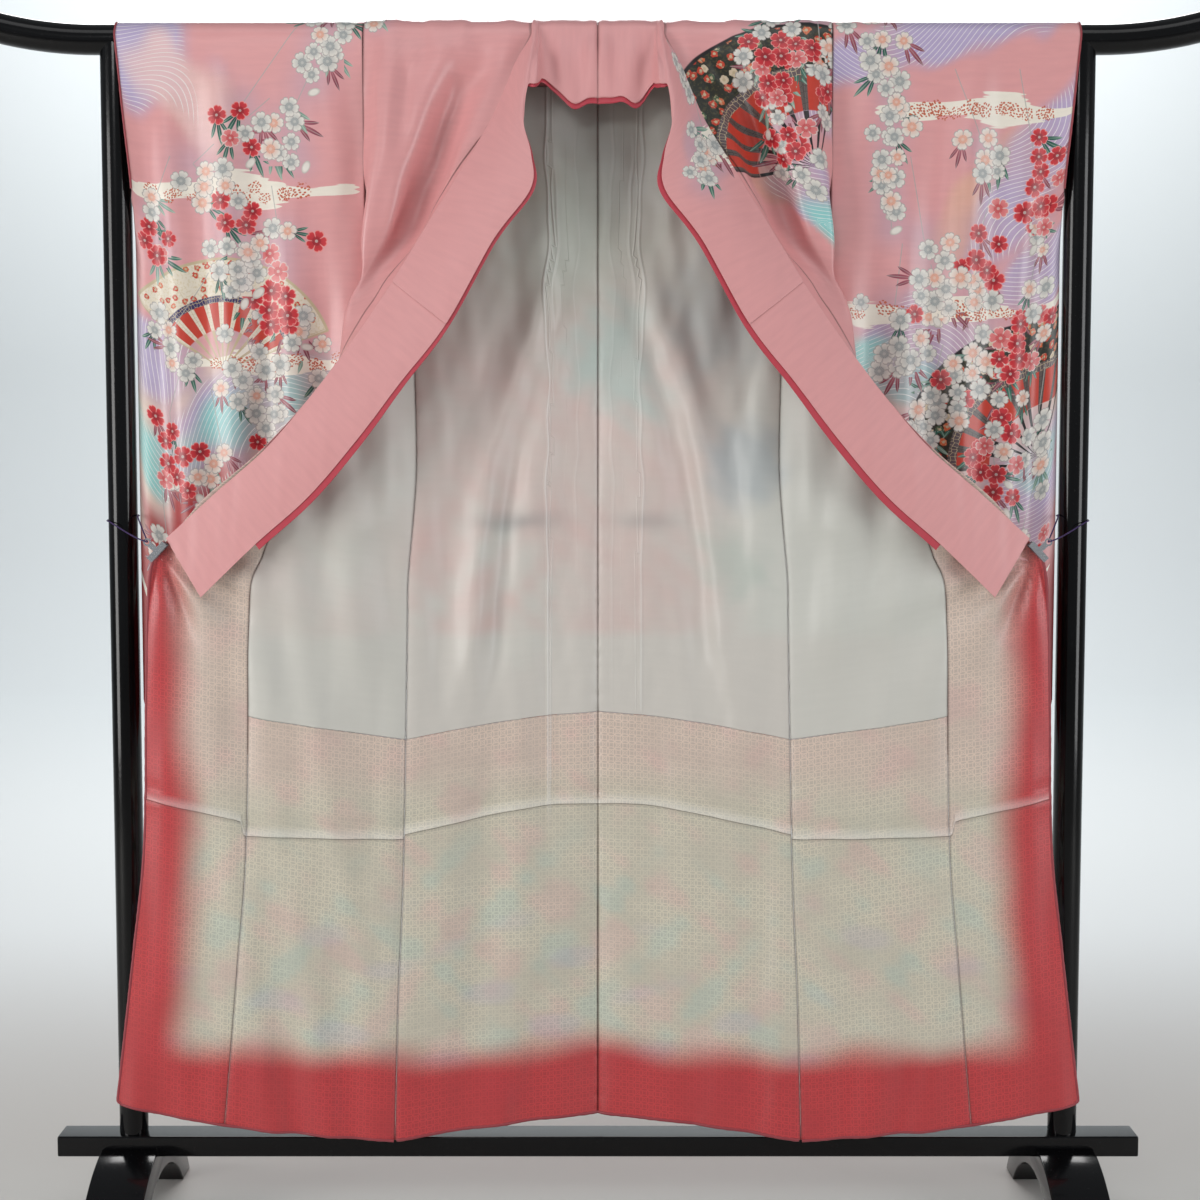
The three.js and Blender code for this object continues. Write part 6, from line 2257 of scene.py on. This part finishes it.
@dataclass
class Rack:
    """The lacquered kimono rack: sizes in millimetres."""

    finishes: Finishes
    straight: float = 700.0
    half_length: float = 900.0
    sweep: float = 580.0
    post_x: float = 675.0
    post_radius: float = 20.5
    foot_half_width: float = 41.0
    beam: tuple[float, float, float, float] = (781.0, 25.0, 94.6, 124.2)
    outer_arch: tuple[float, float] = (190.0, 107.6)
    inner_arch: tuple[float, float] = (140.0, 66.0)
    gap: float = 0.3

    def build(self) -> Thing:
        """Builds every piece.

        Returns:
            The bar, which the garment hangs on.
        """
        bar = self.bar()
        self.dress(bar, "rack_bar")
        half, depth, low, high = self.beam
        outline = [(-depth, low), (depth, low), (depth, high), (-depth, high)]
        self.dress(prism("rack_beam_lacquer", outline, -half, half, 2.5, self.finishes.lacquer), "rack_beam")
        for hand in Hand:
            self.dress(self.post(hand), f"rack_post_{hand.word}")
            x = self.post_x * hand.value
            foot = prism(f"rack_foot_lacquer_{hand.word}", self.foot_outline(), x - self.foot_half_width,
                         x + self.foot_half_width, 2.0, self.finishes.lacquer)
            self.dress(foot, f"rack_foot_{hand.word}")
        return bar

    @staticmethod
    def dress(obj: Thing, node: str) -> None:
        """Lets a piece stand for its CAD node."""
        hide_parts(node)
        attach(obj, BODY)
        report(obj)

    def bar(self) -> Thing:
        """The bar, its ends sweeping up and rounded over.

        Returns:
            The bar.
        """
        rounding = 4.0
        x = np.concatenate([np.linspace(-self.straight, self.straight, 15),
                            np.linspace(self.straight, self.half_length - rounding, 14)[1:]])
        turns = np.linspace(0, math.pi / 2, 6)[1:]
        x = np.concatenate([x, self.half_length - rounding + rounding * np.sin(turns)])
        x = np.concatenate([-x[:14:-1], x])
        past = np.maximum(np.abs(x) - self.straight, 0)
        z = BAR_Z + self.sweep - np.sqrt(self.sweep ** 2 - past ** 2)
        near_end = np.clip(np.abs(x) - (self.half_length - rounding), 0, rounding)
        radii = BAR_RADIUS - rounding + np.sqrt(np.maximum(rounding ** 2 - near_end ** 2, 0))
        return tube("rack_bar_lacquer", np.stack([x, 0 * x, z], -1), radii, 48, self.finishes.lacquer)

    def post(self, hand: Hand) -> Thing:
        """A post, its top hollowed to fit the underside of the bar.

        Args:
            hand: Which side.

        Returns:
            The post.
        """
        turns = np.linspace(0, 2 * math.pi, 48, endpoint=False)
        rings = []
        for share in even(0, 1, 12):
            x = hand.value * self.post_x + self.post_radius * np.cos(turns)
            y = self.post_radius * np.sin(turns)
            top = BAR_Z - np.sqrt((BAR_RADIUS + self.gap) ** 2 - y ** 2)
            low = self.beam[3] + self.gap
            rings.append(np.stack([x, y, low + (top - low) * share], -1))
        verts = np.concatenate(rings) * MM
        faces = [(r * 48 + k, r * 48 + (k + 1) % 48, (r + 1) * 48 + (k + 1) % 48, (r + 1) * 48 + k)
                 for r in range(12) for k in range(48)]
        base = 12 * 48
        faces += [tuple(range(48))] + [(base + k, base + k + 1, base + 47 - k - 1,
                                        base + 47 - k) for k in range(23)]
        return solid(f"rack_post_lacquer_{hand.word}", verts, faces, self.finishes.lacquer)

    def foot_outline(self) -> list[tuple[float, float]]:
        """The arched foot's outline with its notch for the beam, as (y, z).

        Returns:
            The (y, z) points.
        """
        def arch(half: float, crown: float, steps: int) -> list[tuple[float, float]]:
            """Points of an arch from -half to half."""
            radius = (half ** 2 + crown ** 2) / (2 * crown)
            return [(y, max(0.0, crown - radius + math.sqrt(radius ** 2 - y * y))) for y in even(-half,
                                                                                                 half, steps)]

        notch, floor = self.beam[1] + self.gap, self.beam[2] - self.gap
        outer = arch(*self.outer_arch, 64)
        half, crown = self.outer_arch
        radius = (half ** 2 + crown ** 2) / (2 * crown)
        lip = crown - radius + math.sqrt(radius ** 2 - notch ** 2)
        left = [(y, z) for y, z in outer if y < -notch - 1]
        right = [(y, z) for y, z in outer if y > notch + 1]
        middle = [(-notch, lip), (-notch, floor), (notch, floor), (notch, lip)]
        return left + middle + right + arch(*self.inner_arch, 48)[::-1]


# ---- Small parts, floor, light and camera ----

def dress_small_parts(nodes: dict[str, Thing], finishes: Finishes) -> None:
    """Gives the clips and their cords, which stay as modelled, their finishes.

    Args:
        nodes: The frame's objects by name.
        finishes: The finishes.
    """
    for hand in Hand:
        for name, material in ((f"clip_{hand.word}", finishes.metal),
                               (f"clip_cord_{hand.word}", finishes.cord)):
            data = nodes[name].data
            data.materials.clear()
            data.materials.append(material)
            data.polygons.foreach_set("use_smooth", [True] * len(data.polygons))
            data.set_sharp_from_angle(angle=math.radians(40))
            report(nodes[name])


@dataclass(frozen=True)
class Lamp:
    """A soft rectangular lamp facing a point: metres and watts."""

    name: str
    at: tuple[float, float, float]
    target: tuple[float, float, float]
    width: float
    height: float
    power: float
    colour: Colour = (1.0, 1.0, 1.0)

    def build(self) -> None:
        """Puts the lamp into the scene."""
        data = bpy.data.lights.new(self.name, "AREA")
        data.shape, data.size, data.size_y = "RECTANGLE", self.width, self.height
        data.energy, data.color = self.power, self.colour
        lamp = link(bpy.data.objects.new(self.name, data))
        lamp.location = self.at
        lamp.rotation_euler = (Vector(self.target) - Vector(self.at)).to_track_quat("-Z", "Y").to_euler()


LAMPS = (
    Lamp("lamp_left", (-3.0, -1.9, 1.1), (0, 0, 0.75), 1.3, 1.8, 58, (1.0, 0.99, 0.975)),
    Lamp("lamp_right", (3.0, -2.1, 1.1), (0, 0, 0.75), 1.3, 1.8, 44, (0.98, 0.99, 1.0)),
    Lamp("lamp_top", (0, -1.4, 3.5), (0, 0.1, 0.8), 2.6, 1.0, 13),
    Lamp("lamp_front", (-0.9, -3.6, 2.5), (0, 0, 0.8), 0.9, 0.5, 12),
    Lamp("lamp_back", (0, 5.6, 4.2), (0, 7.5, 1.2), 7.0, 1.2, 160, (0.97, 0.99, 1.0)),
    Lamp("lamp_rear", (0, 3.4, 3.4), (0, 1.2, 0.4), 4.0, 1.2, 105, (1.0, 0.99, 0.98)),
)


@dataclass(frozen=True)
class Studio:
    """A pale sweep of paper, soft lamps and the camera."""

    camera_at: tuple[float, float, float] = (0.003, -2.9, 1.126)
    pitch: float = 85.54
    lens: float = 61.17
    paper: Colour = srgb(225, 229, 230)
    sky: Colour = srgb(226, 231, 236)
    sky_strength: float = 0.30
    floor_from: float = -8.0
    floor_to: float = 6.0
    sweep: float = 1.5
    wall_height: float = 7.0
    half_width: float = 18.0
    drop: float = 0.0005

    def build(self) -> None:
        """Builds the backdrop, the lamps, the sky light and the camera."""
        self.backdrop()
        for lamp in LAMPS:
            lamp.build()
        world = bpy.data.worlds.new("studio")
        world.use_nodes = True
        background = next(n for n in world.node_tree.nodes if n.type == "BACKGROUND")
        background.inputs["Color"].default_value = (*self.sky, 1.0)
        background.inputs["Strength"].default_value = self.sky_strength
        bpy.context.scene.world = world
        bpy.context.scene.view_settings.view_transform = "Standard"
        camera = bpy.data.objects.new("camera", bpy.data.cameras.new("camera"))
        camera.data.lens = self.lens
        camera.data.sensor_width = 36
        camera.location = self.camera_at
        camera.rotation_euler = (math.radians(self.pitch), 0, 0)
        link(camera)
        bpy.context.scene.camera = camera

    def backdrop(self) -> None:
        """Floor and wall in one curved sheet."""
        start, radius = self.floor_to, self.sweep
        profile = [(self.floor_from, 0.0), (start, 0.0)]
        profile += [(start + radius * math.sin(a), radius - radius * math.cos(a))
                    for a in np.linspace(0, math.pi / 2, 24)[1:]]
        profile.append((start + radius, self.wall_height))
        verts = [(x, y, z - self.drop) for x in (-self.half_width, self.half_width) for y, z in profile]
        n = len(profile)
        faces = [(k, k + 1, n + k + 1, n + k) for k in range(n - 1)]
        paper = solid("backdrop", verts, faces, StageFinish("paper", self.paper).build(), 60)
        report(paper)


def main() -> None:
    """Loads the frame and builds everything in order."""
    logging.basicConfig(level=logging.INFO, format="%(message)s")
    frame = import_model()
    finishes = Finishes.build()
    bar = Rack(finishes).build()
    garment = Garment(finishes, bar)
    garment.build()
    log.info("cloth faces: %d", garment.count)
    dress_small_parts(frame["nodes"], finishes)
    Studio().build()
    bpy.context.view_layer.update()


if __name__ == "__main__":
    main()
